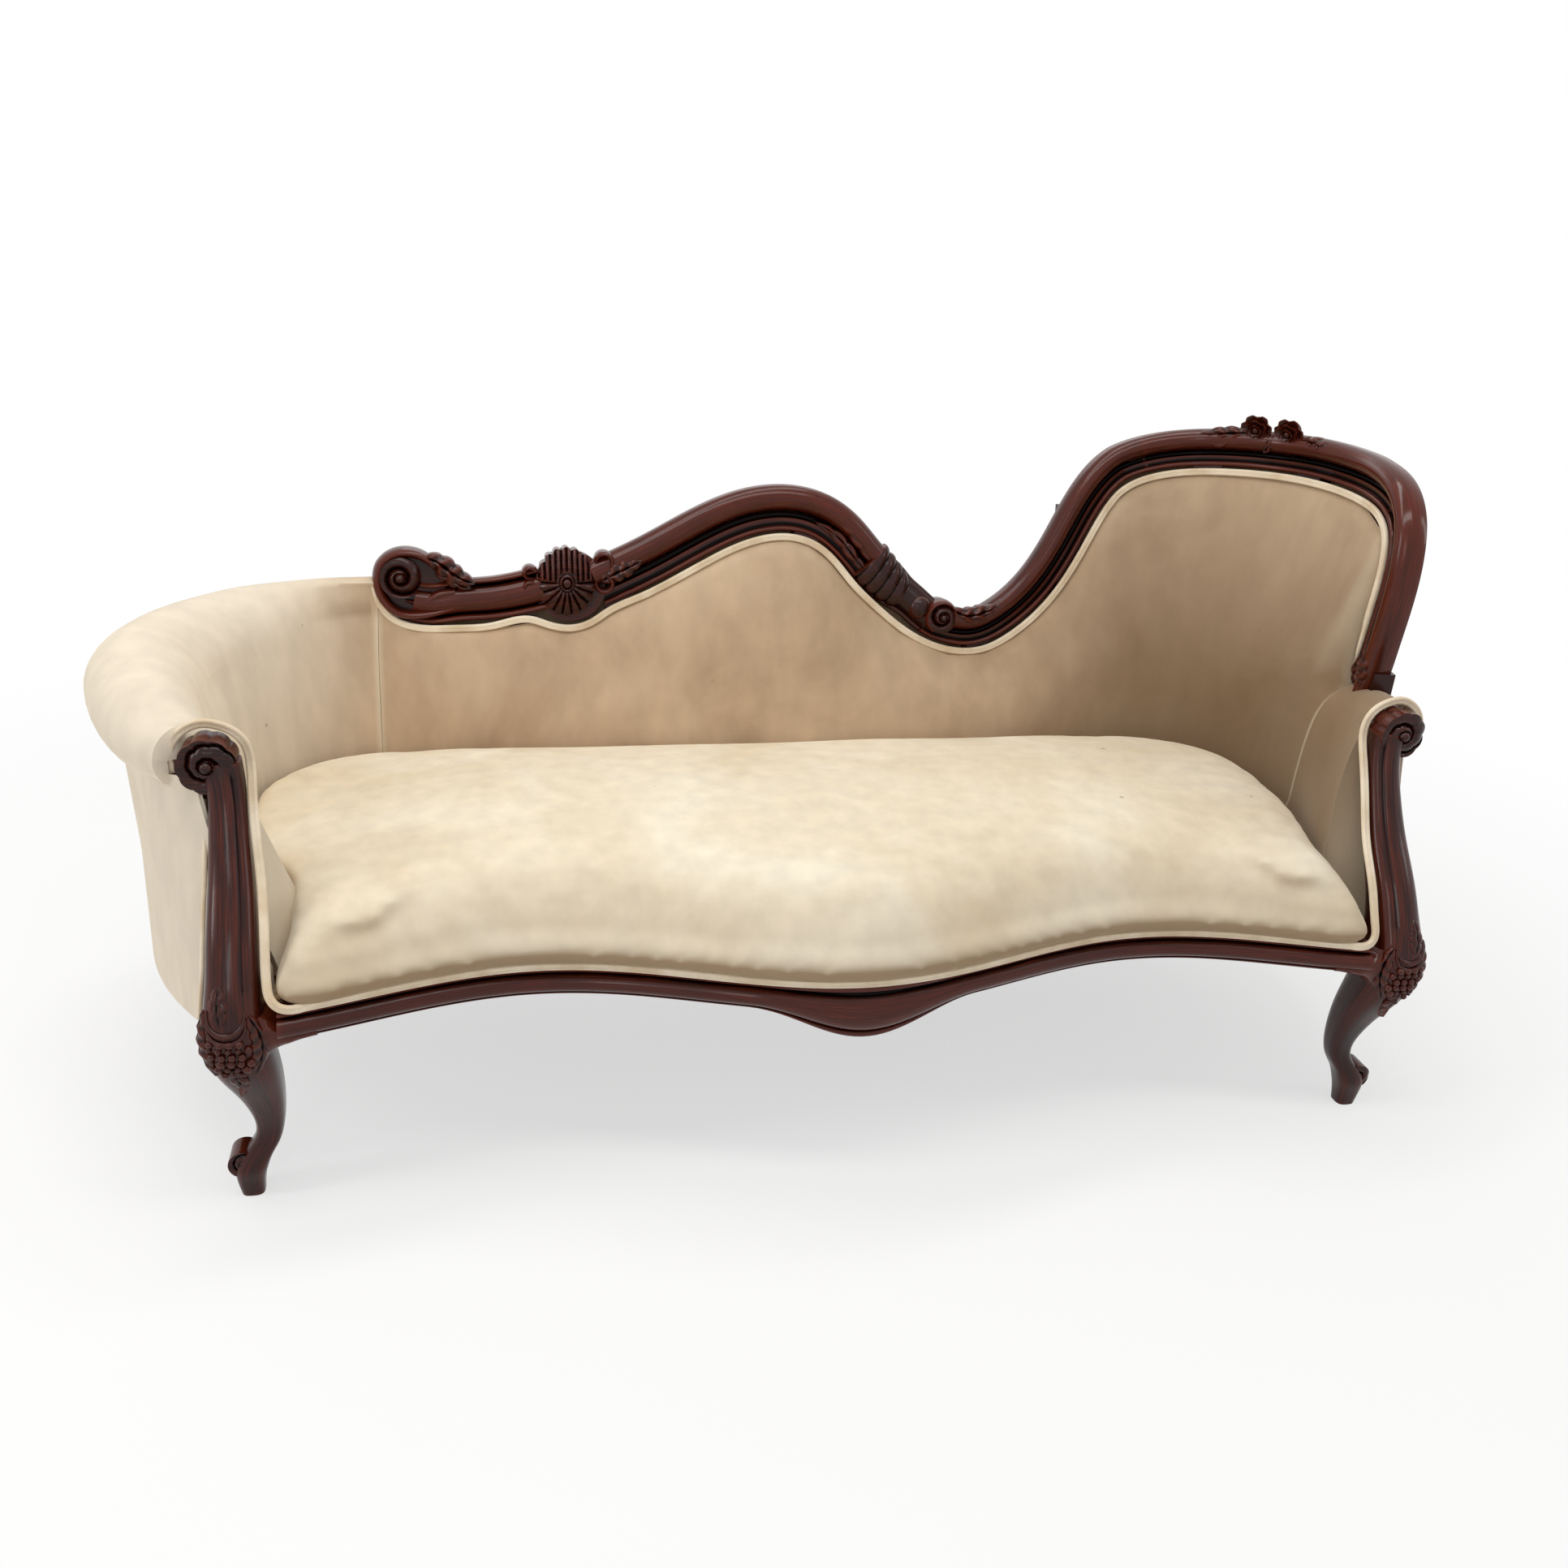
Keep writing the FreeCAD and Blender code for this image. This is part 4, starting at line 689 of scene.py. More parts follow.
CREST = [
    (-308, 662, 80), (-219, 703, 80), (-137, 747, 80), (-60, 780, 79), (0, 790, 78),
    (54, 784, 77), (106, 758, 76), (163, 700, 75), (210, 655, 74), (226, 643, 67),
    (244, 630, 64), (278, 603, 64), (320, 586, 64), (360, 583, 64), (405, 602, 64),
    (470, 660, 64), (520, 740, 64), (560, 815, 64), (600, 862, 64), (650, 889, 64),
    (700, 903, 64), (760, 912, 64), (835, 918, 64), (917, 921, 64), (985, 919, 64),
    (1055, 914, 64), (1118, 899, 64), (1162, 868, 63), (1183, 818, 62), (1184, 755, 61),
    (1176, 690, 59), (1165, 625, 58), (1157, 598, 57),
]
BANDS_START = 7
HUMP_END = 8
NECK_END = 11
COLLAR_END = 10
SWEEP_END = 19
ARCH_END = 26
LOW_RAIL = [(-606, 634, 68), (-575, 630, 68), (-543, 634, 69), (-490, 638, 70),
            (-436, 646, 71), (-398, 655, 72)]
CREST_BACK = -20


def crest_axes(station, height, way):
    """Place, outward and forward directions of the crest's section."""
    point, along, normal = frame_line(station)
    lean = between(station, LEANS)
    up = (normal * lean + Vector((0, 0, 1))).normalized()
    forward = along.cross(up)
    outward = (up * way[0] - along * way[1]).normalized()
    place = point + normal * lean * (height - LEAN_HEIGHT)
    place.z = height
    return place, outward, forward


def on_crest(station, height, forward):
    """Point in front of the crest's middle plane."""
    place, _, ahead = crest_axes(station, height, (1, 0))
    return place + ahead * forward


def ellipse(middle, base, wide, deep, start, stop, count):
    """Points of an arched bead, from one angle to another in degrees."""
    return [(middle + wide * math.cos(math.radians(angle)),
             base + deep * math.sin(math.radians(angle)))
            for angle in np.linspace(start, stop, count)]


def backed(half, front):
    """Closed section of the crest with this half width, from the points of its front."""
    return [(-half + 6, CREST_BACK), (-half + 1, CREST_BACK + 2), (-half, -8), *front,
            (half - 0.5, -10), (half - 4, CREST_BACK + 2), (half - 8, CREST_BACK)]


def moulding(width, _):
    """Crest section: a thin bead by the piping, a dark cove, a big round outer bead."""
    half = width / 2
    bead = 0.275 * width
    cove = half - bead - 4.5
    return backed(half, [
        *ellipse(-half + 4.5, 7, 4.5, 5.5, 180, 14, 7), (-half + 9.6, 5.5),
        *ellipse(half - 2 * bead - 1 - cove * 0.5, 9, cove * 0.48, 8.5, 196, 344, 9),
        (half - 2 * bead - 1, 3), *ellipse(half - bead, 2, bead, 23, 168, 0, 17)])


def low_moulding(width, _):
    """Section of the low rail: a full bead between two dark fillets and thin beads."""
    half = width / 2
    bead = half - 13.5
    return backed(half, [
        *ellipse(-half + 5, 7, 5, 8, 180, 14, 7), (-half + 11.2, 2.5),
        *ellipse(0, 3, bead, 18, 170, 10, 15), (half - 11.2, 2.5),
        *ellipse(half - 5, 4, 5, 11, 166, 0, 7)])


CREST_LINE = smooth_line(CREST, 2400)
CREST_WAYS = np.gradient(CREST_LINE[:, :2], axis=0)


def rail(rows, outline, ways=None):
    """Moulded rail along rows of (station, height, width)."""
    if ways is None:
        ways = np.gradient(rows[:, :2], axis=0)
    rings = []
    for step, (row, way) in enumerate(zip(rows, ways)):
        place, outward, forward = crest_axes(row[0], row[1], way)
        part = step / (len(rows) - 1)
        rings.append([place + outward * out + forward * ahead
                      for out, ahead in outline(row[2], part)])
    return skin(rings)


def stretch(first, last, spans):
    """Plain moulded stretch of the crest between two of its marks."""
    ends = [int(np.linalg.norm(CREST_LINE[:, :2] - CREST[mark][:2], axis=1).argmin())
            for mark in (first, last)]
    steps = np.linspace(ends[0], ends[1], spans + 1).astype(int)
    return rail(CREST_LINE[steps], moulding, CREST_WAYS[steps])


def low_ground(width, part):
    """Wood behind the bound part and the neck: the moulding with its beads cut down."""
    return [(out, ahead * 0.5 if ahead > 0 else ahead) for out, ahead in moulding(width, part)]


def round_section(width, full):
    """Plain rounded section for the bound part and the neck after it."""
    return backed(width / 2, ellipse(0, 0, width / 2, full, 180, 0, 28))


def bound_section(width, part):
    """Section swelled into four slanting bands, as if a cord were bound round the rail."""
    points = []
    wide = width * (1.06 - 0.24 * part)
    for out, ahead in round_section(wide, 27 - 4 * part):
        turn = 4 * part + 0.5 * out / width
        swell = 0.97 + 0.13 * abs(math.sin(math.pi * turn)) ** 0.6
        points.append((out * swell, ahead * swell if ahead > 0 else ahead))
    return points


# Carving: every form is drawn flat as (across, up, forward) and set on the wood by a
# place function, so that it follows the rail or the leg.

def crest_place(station, height):
    """Place function for carving on the crest round a middle."""
    def place(across, up, ahead):
        return on_crest(station + across, height + up, ahead)
    return place


def relief(place, edge, face, back, rings=16, spokes=96):
    """Carved disc: edge(angle) is its outline, face(angle, part) its front."""
    turns = [2 * math.pi * spoke / spokes for spoke in range(spokes)]
    points = [place(0, 0, face(0, 0))]
    for ring in range(1, rings + 1):
        part = ring / rings
        for angle in turns:
            reach = edge(angle) * part
            points.append(place(reach * math.cos(angle), reach * math.sin(angle),
                                face(angle, part)))
    for angle in turns:
        reach = edge(angle) * 0.99
        points.append(place(reach * math.cos(angle), reach * math.sin(angle), back))
    faces = [(0, 1 + spoke, 1 + (spoke + 1) % spokes) for spoke in range(spokes)]
    for ring in range(rings):
        base = 1 + ring * spokes
        for spoke in range(spokes):
            after = (spoke + 1) % spokes
            faces.append((base + spoke, base + spokes + spoke, base + spokes + after,
                          base + after))
    faces.append(tuple(range(1 + rings * spokes, 1 + (rings + 1) * spokes)))
    grain = [tuple((points[corner].x * MM, (points[corner].z + points[corner].y) * MM)
                   for corner in corners) for corners in faces]
    return points, faces, grain


def disc(place, radius, high, fall, back=CREST_BACK, rings=6, spokes=96):
    """Plain round ground under a carving, falling a little to its rim."""
    return relief(place, lambda angle: radius, lambda angle, part: high - fall * part, back,
                  rings, spokes)


def curl(middle, up, radius, angles, hand=1):
    """Path of a small scroll round its eye."""
    return [(middle + radius * math.cos(math.radians(angle)),
             up + hand * radius * math.sin(math.radians(angle))) for angle in angles]


def volute_face(turns, base, lift, eye, hand=1):
    """Face of a scroll: one round bead that winds in to a button eye."""
    tightness = math.log(1 / eye) / (2 * math.pi * turns)

    def face(angle, part):
        if part < eye:
            return base + lift * (0.55 + 0.75 * math.sqrt(1 - (part / eye) ** 2))
        wound = math.log(1 / part) / tightness
        phase = ((wound + hand * angle) / (2 * math.pi)) % 1
        bead = math.sqrt(max(0, 1 - (2 * phase - 1) ** 2))
        sunk = 1 - 0.35 * part
        return base + lift * bead * sunk
    return face


def along_path(path, count):
    """Share of the way, place and unit direction at even steps of a path."""
    rows = smooth_line(path, count)
    for step, (row, way) in enumerate(zip(rows, np.gradient(rows, axis=0))):
        yield step / (count - 1), row, way / np.linalg.norm(way)


def ridge(place, path, wide, rise, base, count=36, floor=-7):
    """Carved ridge along a path, its half width and rise read from short tables."""
    rings = []
    for part, row, way in along_path(path, count):
        half = between(part, wide)
        lift = between(part, rise)
        outline = [(half * math.cos(math.radians(angle)),
                    base + lift * math.sin(math.radians(angle))) for angle in range(0, 181, 20)]
        outline += [(-half * 0.9, base + floor), (half * 0.9, base + floor)]
        rings.append([place(row[0] - way[1] * across, row[1] + way[0] * across, ahead)
                      for across, ahead in outline])
    return skin(rings)


LEAF_STEPS = (-1, -0.86, -0.66, -0.46, -0.28, -0.12, 0, 0.12, 0.28, 0.46, 0.66, 0.86, 1)


def leaf(place, path, width, rise, lobes, base, floor=-7):
    """Carved leaf along a path: lobed edges, a sunk midrib, slanting veins, a raised tip."""
    rings = []
    for part, row, way in along_path(path, 40):
        swell = math.sin(math.pi * (0.10 + 0.87 * part)) ** 0.8
        lobe = 0.72 + 0.28 * abs(math.sin(math.pi * lobes * part)) ** 0.6
        half = width / 2 * swell * lobe
        tip = rise * 0.5 * max(0, (part - 0.72) / 0.28) ** 2
        outline = []
        for across in LEAF_STEPS:
            dome = math.sqrt(max(0, 1 - across * across))
            groove = 0.45 * math.exp(-(across / 0.13) ** 2)
            vein = 0.18 * math.cos(2 * math.pi * (lobes * part - 0.5 * abs(across)))
            lift = rise * swell * (0.15 + 0.85 * dome - groove + vein * dome) + tip
            outline.append((across, base + lift))
        outline += [(across, base + floor) for across in (0.9, 0, -0.9)]
        rings.append([place(row[0] - way[1] * half * across, row[1] + way[0] * half * across,
                            ahead) for across, ahead in outline])
    return skin(rings)


def low_crest():
    """Low rail whose bead winds up round a large scroll, and the leaf that grows from it."""
    middle = crest_place(-606, 660)
    skins = [
        rail(smooth_line(LOW_RAIL, 40), low_moulding),
        disc(middle, 50, 9, 3),
        relief(crest_place(-626, 674), lambda angle: 33.0, volute_face(1.35, 12, 22, 0.27),
               CREST_BACK, rings=30),
        ridge(middle, [(64, -37), (36, -44), (4, -48), (-28, -42), (-48, -22), (-56, 6),
                       (-50, 34), (-30, 50), (-4, 53), (20, 44), (36, 28), (48, 12)],
              [(0, 6), (0.25, 9), (0.6, 9.5), (0.85, 8), (1, 3)],
              [(0, 16), (0.25, 25), (0.7, 27), (0.88, 20), (1, 8)], 2, 110, -20),
        ridge(middle, [(66, -12), (34, -18), (10, -28), (-14, -24)],
              [(0, 9), (0.6, 8), (1, 3)], [(0, 15), (0.6, 17), (1, 6)], 4, 50, -20),
        leaf(middle, [(22, 46), (44, 36), (66, 18), (98, 4)], 36, 13, 4, 13, -24),
        leaf(middle, [(36, 22), (54, 14), (74, 2), (92, -4)], 22, 9, 3, 14, -10)]
    for up in (16, -8):
        skins.append(ridge(crest_place(-358, 664), curl(-60, up, 9, range(20, 300, 25)),
                           [(0, 5), (0.5, 5), (1, 2.5)], [(0, 10), (0.5, 13), (1, 7)], 9, 30,
                           -20))
    return piece("carved_low_rail", skins)


def shell_edge(angle):
    """Scalloped outline of the shell boss."""
    lobes = 18
    return BOSS - 4 - 5 * (1 - abs(math.sin(lobes * angle / 2)))


def shell_face(angle, part):
    """Button, ring and ribs of the shell: a comb above and a fan below."""
    reach = shell_edge(angle) * part
    if reach < 8:
        return 33 + 6 * math.sqrt(1 - (reach / 8) ** 2)
    if reach < 15:
        return 30 + 5.0 * math.sin(math.pi * (reach - 8) / 7) ** 0.8
    far = (reach - 15) / (BOSS - 15)
    dome = 31 - 19 * far * far
    if math.sin(angle) > 0.12:
        rib = abs(math.sin(math.pi * reach * math.cos(angle) / 10.5))
    else:
        rib = abs(math.sin(9 * angle))
    return dome + 6.0 * min(1, far * 5) * (rib ** 0.7 - 0.6)


def shell():
    """Shell boss between the low rail and the hump, with a scroll on either side."""
    middle = crest_place(-358, 666)

    def narrowed(across, up, ahead):
        return middle(across * 0.86, up, ahead)
    skins = [relief(narrowed, shell_edge, shell_face, CREST_BACK, rings=34, spokes=216),
             disc(crest_place(-352, 658), 59, 5, 1, rings=4)]
    for up, hand in ((34, 1), (-2, -1)):
        skins.append(ridge(middle, curl(62, up, 13, range(190, -80, -22), hand),
                           [(0, 3), (0.3, 5.5), (0.8, 5.5), (1, 3.5)],
                           [(0, 8), (0.3, 16), (0.8, 17), (1, 11)], 12, 40, -20))
    return piece("carved_shell_boss", skins)


def hump():
    """Hump of the crest: leafy start, a pointed wrap over its bead, then the bound bands."""
    neck = smooth_line(CREST, 50, HUMP_END, NECK_END)
    neck[:, 2] = 47
    crest = crest_place(0, 0)
    return piece("carved_hump_rail", [
        stretch(0, BANDS_START, 110),
        rail(smooth_line(CREST, 60, BANDS_START, NECK_END), low_ground),
        rail(smooth_line(CREST, 60, BANDS_START, HUMP_END + 1), bound_section),
        rail(neck, lambda width, part: round_section(width, 20)),
        leaf(crest_place(-300, 672), [(0, -4), (20, 8), (42, 18), (66, 30)], 34, 11, 4, 18, -12),
        leaf(crest, [(168, 700), (140, 740), (108, 778), (62, 812)], 26, 7, 5, 17, -12),
        leaf(crest, [(158, 682), (134, 708), (104, 742), (66, 766)], 20, 6, 4, 15, -12)])


def knuckle(angle, part):
    """Face of a round knob."""
    return 10 + 18 * math.sqrt(max(0, 1 - part * part))


def sweep_rail():
    """Rail that sweeps up to the high end, with the small scroll and leaf at its foot."""
    middle = crest_place(298, 603)
    return piece("carved_sweep_rail", [
        stretch(NECK_END, SWEEP_END, 120),
        relief(middle, lambda angle: 27.0, volute_face(1.4, 17, 17, 0.26, -1), CREST_BACK,
               rings=24, spokes=72),
        ridge(middle, curl(0, 0, 26, range(240, -60, -14)), [(0, 5), (0.5, 6), (1, 3)],
              [(0, 20), (0.6, 25), (1, 10)], 6, 50, -20),
        relief(crest_place(258, 620), lambda angle: 21.0, knuckle, CREST_BACK, rings=12,
               spokes=48),
        leaf(middle, [(20, 14), (40, 4), (66, 6), (106, 20)], 30, 13, 4, 17, -14)])


def petal_place(station, height, forward, tip, turn):
    """Place function for a flower whose face looks up and forward."""
    cosine = math.cos(math.radians(tip))
    sine = math.sin(math.radians(tip))
    spin_cosine = math.cos(math.radians(turn))
    spin_sine = math.sin(math.radians(turn))

    def place(across, up, ahead):
        side = across * spin_cosine - up * spin_sine
        rise = across * spin_sine + up * spin_cosine
        return on_crest(station + side, height + rise * cosine + ahead * sine,
                        forward + ahead * cosine - rise * sine)
    return place


def petal(place, reach, wide, cup, base):
    """One cupped petal that grows from the middle of a rose."""
    rings = []
    for step in range(9):
        part = step / 8
        half = wide * math.sin(math.pi * (0.14 + 0.74 * part)) ** 0.8
        lift = base + cup * part ** 1.6 - cup * 0.35 * max(0, part - 0.8) / 0.2
        ring = []
        for across in (-1, -0.6, -0.2, 0.2, 0.6, 1):
            ring.append(place(reach * part, half * across, lift + cup * 0.35 * across * across))
        for across in (1, 0.6, 0.2, -0.2, -0.6, -1):
            ring.append(place(reach * part, half * across * 0.97,
                              lift + cup * 0.35 * across * across - 2.4))
        rings.append(ring)
    return skin(rings)


def rose(station, height, forward, tip):
    """Open rose: three rounds of cupped petals round a bud."""
    skins = []
    for count, reach, wide, cup, base, start in (
            (6, 24, 12, 4, 2, 0), (5, 17, 9.5, 8, 5, 30), (4, 10, 7, 10, 8, 10)):
        for index in range(count):
            place = petal_place(station, height, forward, tip, start + 360 * index / count)
            skins.append(petal(place, reach, wide, cup, base))
    place = petal_place(station, height, forward, tip, 0)
    skins.append(relief(place, lambda angle: 5.5,
                        lambda angle, part: 12 + 5 * math.sqrt(max(0, 1 - part * part)),
                        -4, rings=6, spokes=20))
    skins.append(disc(place, 15, 3, 1, -10, 3, 24))
    return skins


def roses():
    """Two roses with their leaves on the top of the high end."""
    skins = rose(810, 954, 16, -25) + rose(862, 955, 16, -25)
    for station, height, path, width, rise, lobes, base, floor in (
            (806, 943, [(0, 0), (-24, -3), (-52, -8), (-84, -14)], 26, 9, 4, 17, -16),
            (884, 942, [(0, 2), (22, 2), (44, -3), (66, -8)], 24, 9, 4, 17, -16),
            (834, 944, [(0, 2), (1, -8), (0, -18), (-5, -30)], 20, 8, 3, 18, -12),
            (790, 934, [(0, 0), (-20, -10), (-44, -14), (-66, -10)], 18, 6, 3, 18, -12)):
        skins.append(leaf(crest_place(station, height), path, width, rise, lobes, base, floor))
    return piece("carved_roses", skins)


def stile():
    """Rounded end of the crest that comes down to the right arm."""
    skins = [stretch(ARCH_END, len(CREST) - 1, 60),
             leaf(crest_place(1172, 606), [(2, 0), (6, 20), (9, 44), (6, 76)], 28, 10, 4, 18, -12),
             leaf(crest_place(1146, 606), [(0, 0), (-2, 16), (2, 34), (10, 54)], 18, 9, 3, 12,
                  -12)]
    for up in (8, 30):
        skins.append(ridge(crest_place(1152, 604), curl(0, up, 8, range(200, -60, -25)),
                           [(0, 2), (0.3, 4), (1, 2.5)], [(0, 6), (0.3, 10), (1, 7)], 12, 30,
                           -14))
    return piece("carved_stile", skins)


# Arm posts and front legs
# Rows give the middle out from the couch's middle, its depth and height, and the half
# widths across and deep. The left one is drawn and the right one is its mirror image.

UPRIGHT = [
    (822, 12, 0, 15, 15), (823, 12, 26, 19, 19), (820, 11, 44, 21, 22),
    (812, 12, 62, 20, 21), (799, 15, 82, 18, 19), (793, 15, 104, 18, 20),
    (793, 10, 135, 22, 24), (799, 0, 175, 30, 31), (808, -13, 215, 38, 38),
    (815, -22, 258, 40, 42), (817, -22, 300, 37, 42), (817, -9, 342, 33, 38),
    (817, 16, 392, 31, 34), (818, 54, 450, 28, 29), (820, 84, 505, 25, 26),
    (822, 102, 552, 24, 23), (827, 110, 592, 25, 20),
]
UPRIGHT_ROWS = smooth_line(UPRIGHT, 150, measured=3)
BRACKET = [(-816, 180), (-800, 196), (-789, 222), (-776, 246), (-758, 261), (-735, 269),
           (-716, 271)]
STRIP_FOOT = 318
STRIP_TOP = 592


def upright_point(side, angle, height, lift):
    """Point over the surface of an arm post or leg; angle 0 looks to the middle, -90 forward."""
    out, deep, wide, thick = [float(np.interp(height, UPRIGHT_ROWS[:, 2], UPRIGHT_ROWS[:, column]))
                              for column in (0, 1, 3, 4)]
    turn = math.radians(angle)
    cosine = math.cos(turn)
    sine = math.sin(turn)
    rounded = (abs(cosine) ** 3 + abs(sine) ** 3) ** (-1 / 3)
    across = (wide * rounded + lift) * cosine
    back = (thick * rounded + lift) * sine
    if sine < 0 and height > STRIP_FOOT:
        strip = min(1, (height - STRIP_FOOT) / 26) * min(1, max(0, (STRIP_TOP - height) / 20))
        edge = across / wide
        groove = math.exp(-((edge - 0.42) / 0.055) ** 2)
        step = 1 / (1 + math.exp(-(edge - 0.46) / 0.03))
        swell = 1.6 * math.cos(math.pi * max(-1, edge)) * (1 - step)
        back += strip * (2.6 * groove + 3.2 * step - swell)
    return Vector((side * (out - across), deep + back, height))


def knee_place(side):
    """Place function for carving on the knee: across and up on the front, lift outwards."""
    def place(across, up, lift):
        return upright_point(side, -98 + across / 38 * 57.3, up, lift)
    return place


def grape(place, across, up):
    """One grape of the knee's bunch, no two quite alike."""
    radius = 5.2 + 1.2 * math.sin(across * 2.3 + up)
    bpy.ops.mesh.primitive_ico_sphere_add(subdivisions=3, radius=radius * MM,
                                          location=world(place(across, up, radius * 0.25)))
    return settle_transform("grape")


GRAPES = [
    (281, (-17, -6, 5, 16)), (272, (-22, -11.5, -0.5, 10.5, 21)), (262, (-17, -6, 5, 16)),
    (252, (-21, -11, 0, 11, 21)), (242, (-15, -5, 6, 16)), (232, (-10, 0.5, 11)),
    (222, (-5, 6)), (213, (0.5,)),
]


def upright(name, side):
    """Arm post and front leg in one: scroll foot, carved knee, moulded post, arm scroll."""
    skins = [skin([[upright_point(side, -84 + 5 * step, height, 0) for step in range(72)]
                   for height in UPRIGHT_ROWS[:, 2]])]

    def toe_place(across, up, ahead):
        return Vector((side * 830 + across, 33 - ahead, 51 + up))
    skins.append(relief(toe_place, lambda angle: 20.0, volute_face(1.2, 32, 7, 0.3, side), 0,
                        rings=14, spokes=48))

    def arm_place(across, up, ahead):
        return Vector((side * (POST_REACH + 5) + across, POST_DEPTH + 38 - ahead,
                       ARM_SCROLL_HEIGHT + up))

    def leafy_edge(angle):
        return ARM_SCROLL - 2.4 * (1 - abs(math.sin(4.5 * angle)) ** 0.7)
    skins.append(relief(arm_place, leafy_edge, volute_face(1.5, 30, 13, 0.24, side), 0,
                        rings=30, spokes=120))
    rings = []
    for x, low in smooth_line(BRACKET, 26):
        rise = min(1, max(0, (-740 - x) / 60))
        high = max(low + 12, 284 + (RAIL_TOP - 284) * rise * rise * (3 - 2 * rise))
        tall = high - low
        sunk = 9 * max(0, (x + 750) / 34)
        front = [(-8, high), (-8, low + 3), (-16, low), (-30, low), (sunk - 44, low + 0.06 * tall),
                 (sunk - 52, low + 0.2 * tall), (sunk - 57, low + 0.42 * tall),
                 (sunk - 58, low + 0.64 * tall), (sunk - 56, low + 0.86 * tall),
                 (sunk - 48, high)]
        rings.append([Vector((-side * x, y, z)) for y, z in front])
    skins.append(skin(rings))
    place = knee_place(side)
    for drop in (0, 11):
        skins.append(ridge(place, [(-24, 322 - drop), (-19, 303 - drop), (0, 293 - drop),
                                   (19, 303 - drop), (24, 322 - drop)],
                           [(0, 1.5), (0.5, 4), (1, 1.5)], [(0, 2), (0.5, 5), (1, 2)], 0, 30))
    for path, width, rise, lobes in (
            ([(-30, 318), (-36, 292), (-32, 262), (-20, 230)], 24, 7, 5),
            ([(28, 314), (36, 290), (34, 262), (22, 232)], 22, 7, 5),
            ([(0, 240), (1, 222), (0, 196)], 22, 6, 3),
            ([(-6, 306), (-9, 328), (-8, 352)], 26, 4, 3)):
        skins.append(leaf(place, path, width, rise, lobes, 0))
    corners = [(-33, 3), (33, 3), (33, 75), (-33, 75)]
    skins.append(skin([[Vector((side * 827 + x, y, z)) for x, y in corners]
                       for z in (233, 311)]))
    grapes = [grape(place, across + 1.5 * math.sin(up), up) for up, row in GRAPES for across in row]
    return piece(name, skins, grapes)


# Front rail

WAVE_MIDDLE = -25.5
WAVE_DEPTH = 45.5
WAVE_HALF = 440
RAIL_HALF = 762
RAIL_UNDER = 272
BELLY_DROP = 43
BELLY_HALF = 162


def front_depth(x):
    """Depth of the seat's serpentine front edge."""
    return WAVE_MIDDLE - WAVE_DEPTH * math.cos(math.pi * x / WAVE_HALF)


def rail_bottom(x):
    """Underside of the front rail, which swells down at the middle."""
    return RAIL_UNDER - BELLY_DROP * (1 + math.cos(math.pi * min(1, abs(x) / BELLY_HALF))) / 2


def front_rail():
    """Moulded front rail: a shadow line under the cord, a broad bead, a rolled lower edge."""
    rings = []
    for x in np.linspace(-RAIL_HALF, RAIL_HALF, 150):
        depth = front_depth(x)
        low = rail_bottom(x)
        tall = RAIL_TOP - low
        section = [(44, min(low + 6, 258)), (26, min(low, 261)), (14, low)]
        section += ellipse(11, low + 0.07 * tall, 9, 0.07 * tall, 250, 110, 7)
        section.append((6, low + 0.15 * tall))
        section += ellipse(4, low + 0.49 * tall, 14, 0.32 * tall, 262, 98, 17)
        section += [(4, low + 0.82 * tall), (5.5, low + 0.85 * tall), (3, low + 0.88 * tall),
                    (0.5, low + 0.90 * tall), (0, low + 0.95 * tall), (2, RAIL_TOP), (44, RAIL_TOP)]
        rings.append([Vector((x, depth + back, height)) for back, height in section])
    return piece("moulded_front_rail", [skin(rings)])


def rear_leg(name, across):
    """Square tapered leg that rakes back, its block bolted inside the seat rail."""
    bpy.ops.mesh.primitive_cube_add(size=1, location=world((across, 636, 272)))
    bpy.context.active_object.scale = (0.046, 0.046, 0.080)
    leg = settle_transform(name)
    bpy.ops.object.mode_set(mode="EDIT")
    bpy.ops.mesh.select_all(action="DESELECT")
    body = bmesh.from_edit_mesh(leg.data)
    for face in body.faces:
        face.select_set(face.normal.z < -0.9)
    bmesh.update_edit_mesh(leg.data)
    for share in (0.5, 0.5):
        bpy.ops.mesh.extrude_region_move(
            TRANSFORM_OT_translate={"value": (0, 0.078 * share, -0.232 * share)})
        chosen = [face for face in bmesh.from_edit_mesh(leg.data).faces if face.select]
        centre = sum((face.calc_center_median() for face in chosen), Vector()) / len(chosen)
        bpy.ops.transform.resize(value=(0.834, 0.834, 1), center_override=centre)
    bpy.ops.object.mode_set(mode="OBJECT")
    edges = leg.modifiers.new("worn_edges", "BEVEL")
    edges.width = 0.004
    edges.segments = 3
    edges.limit_method = "ANGLE"
    apply_all(leg)
    pick(leg)
    bpy.ops.object.mode_set(mode="EDIT")
    bpy.ops.mesh.select_all(action="SELECT")
    bpy.ops.uv.cube_project(cube_size=1.0)
    bpy.ops.object.mode_set(mode="OBJECT")
    leg.data.uv_layers[0].name = "grain"
    return leg


# Padding and covers

def edge_marks(gap):
    """(station, height) marks of the crest's inner edge without the stile, set in by a gap."""
    marks = [(station, height - gap) for station, height in (
        (-663, 642), (-650, 624), (-608, 602), (-543, 599), (-480, 603), (-418, 613),
        (-392, 605), (-356, 598), (-318, 607))]
    marks += inner_edge(0, HUMP_END, 11, gap)
    marks.append((232 - gap / 2, 592 - gap))
    marks += inner_edge(COLLAR_END, SWEEP_END, 13, gap)[2:]
    marks += inner_edge(SWEEP_END, ARCH_END, 7, gap)[1:]
    kept = marks[:1]
    for mark in marks:
        if mark[0] > kept[-1][0] + 3:
            kept.append(mark)
    return kept


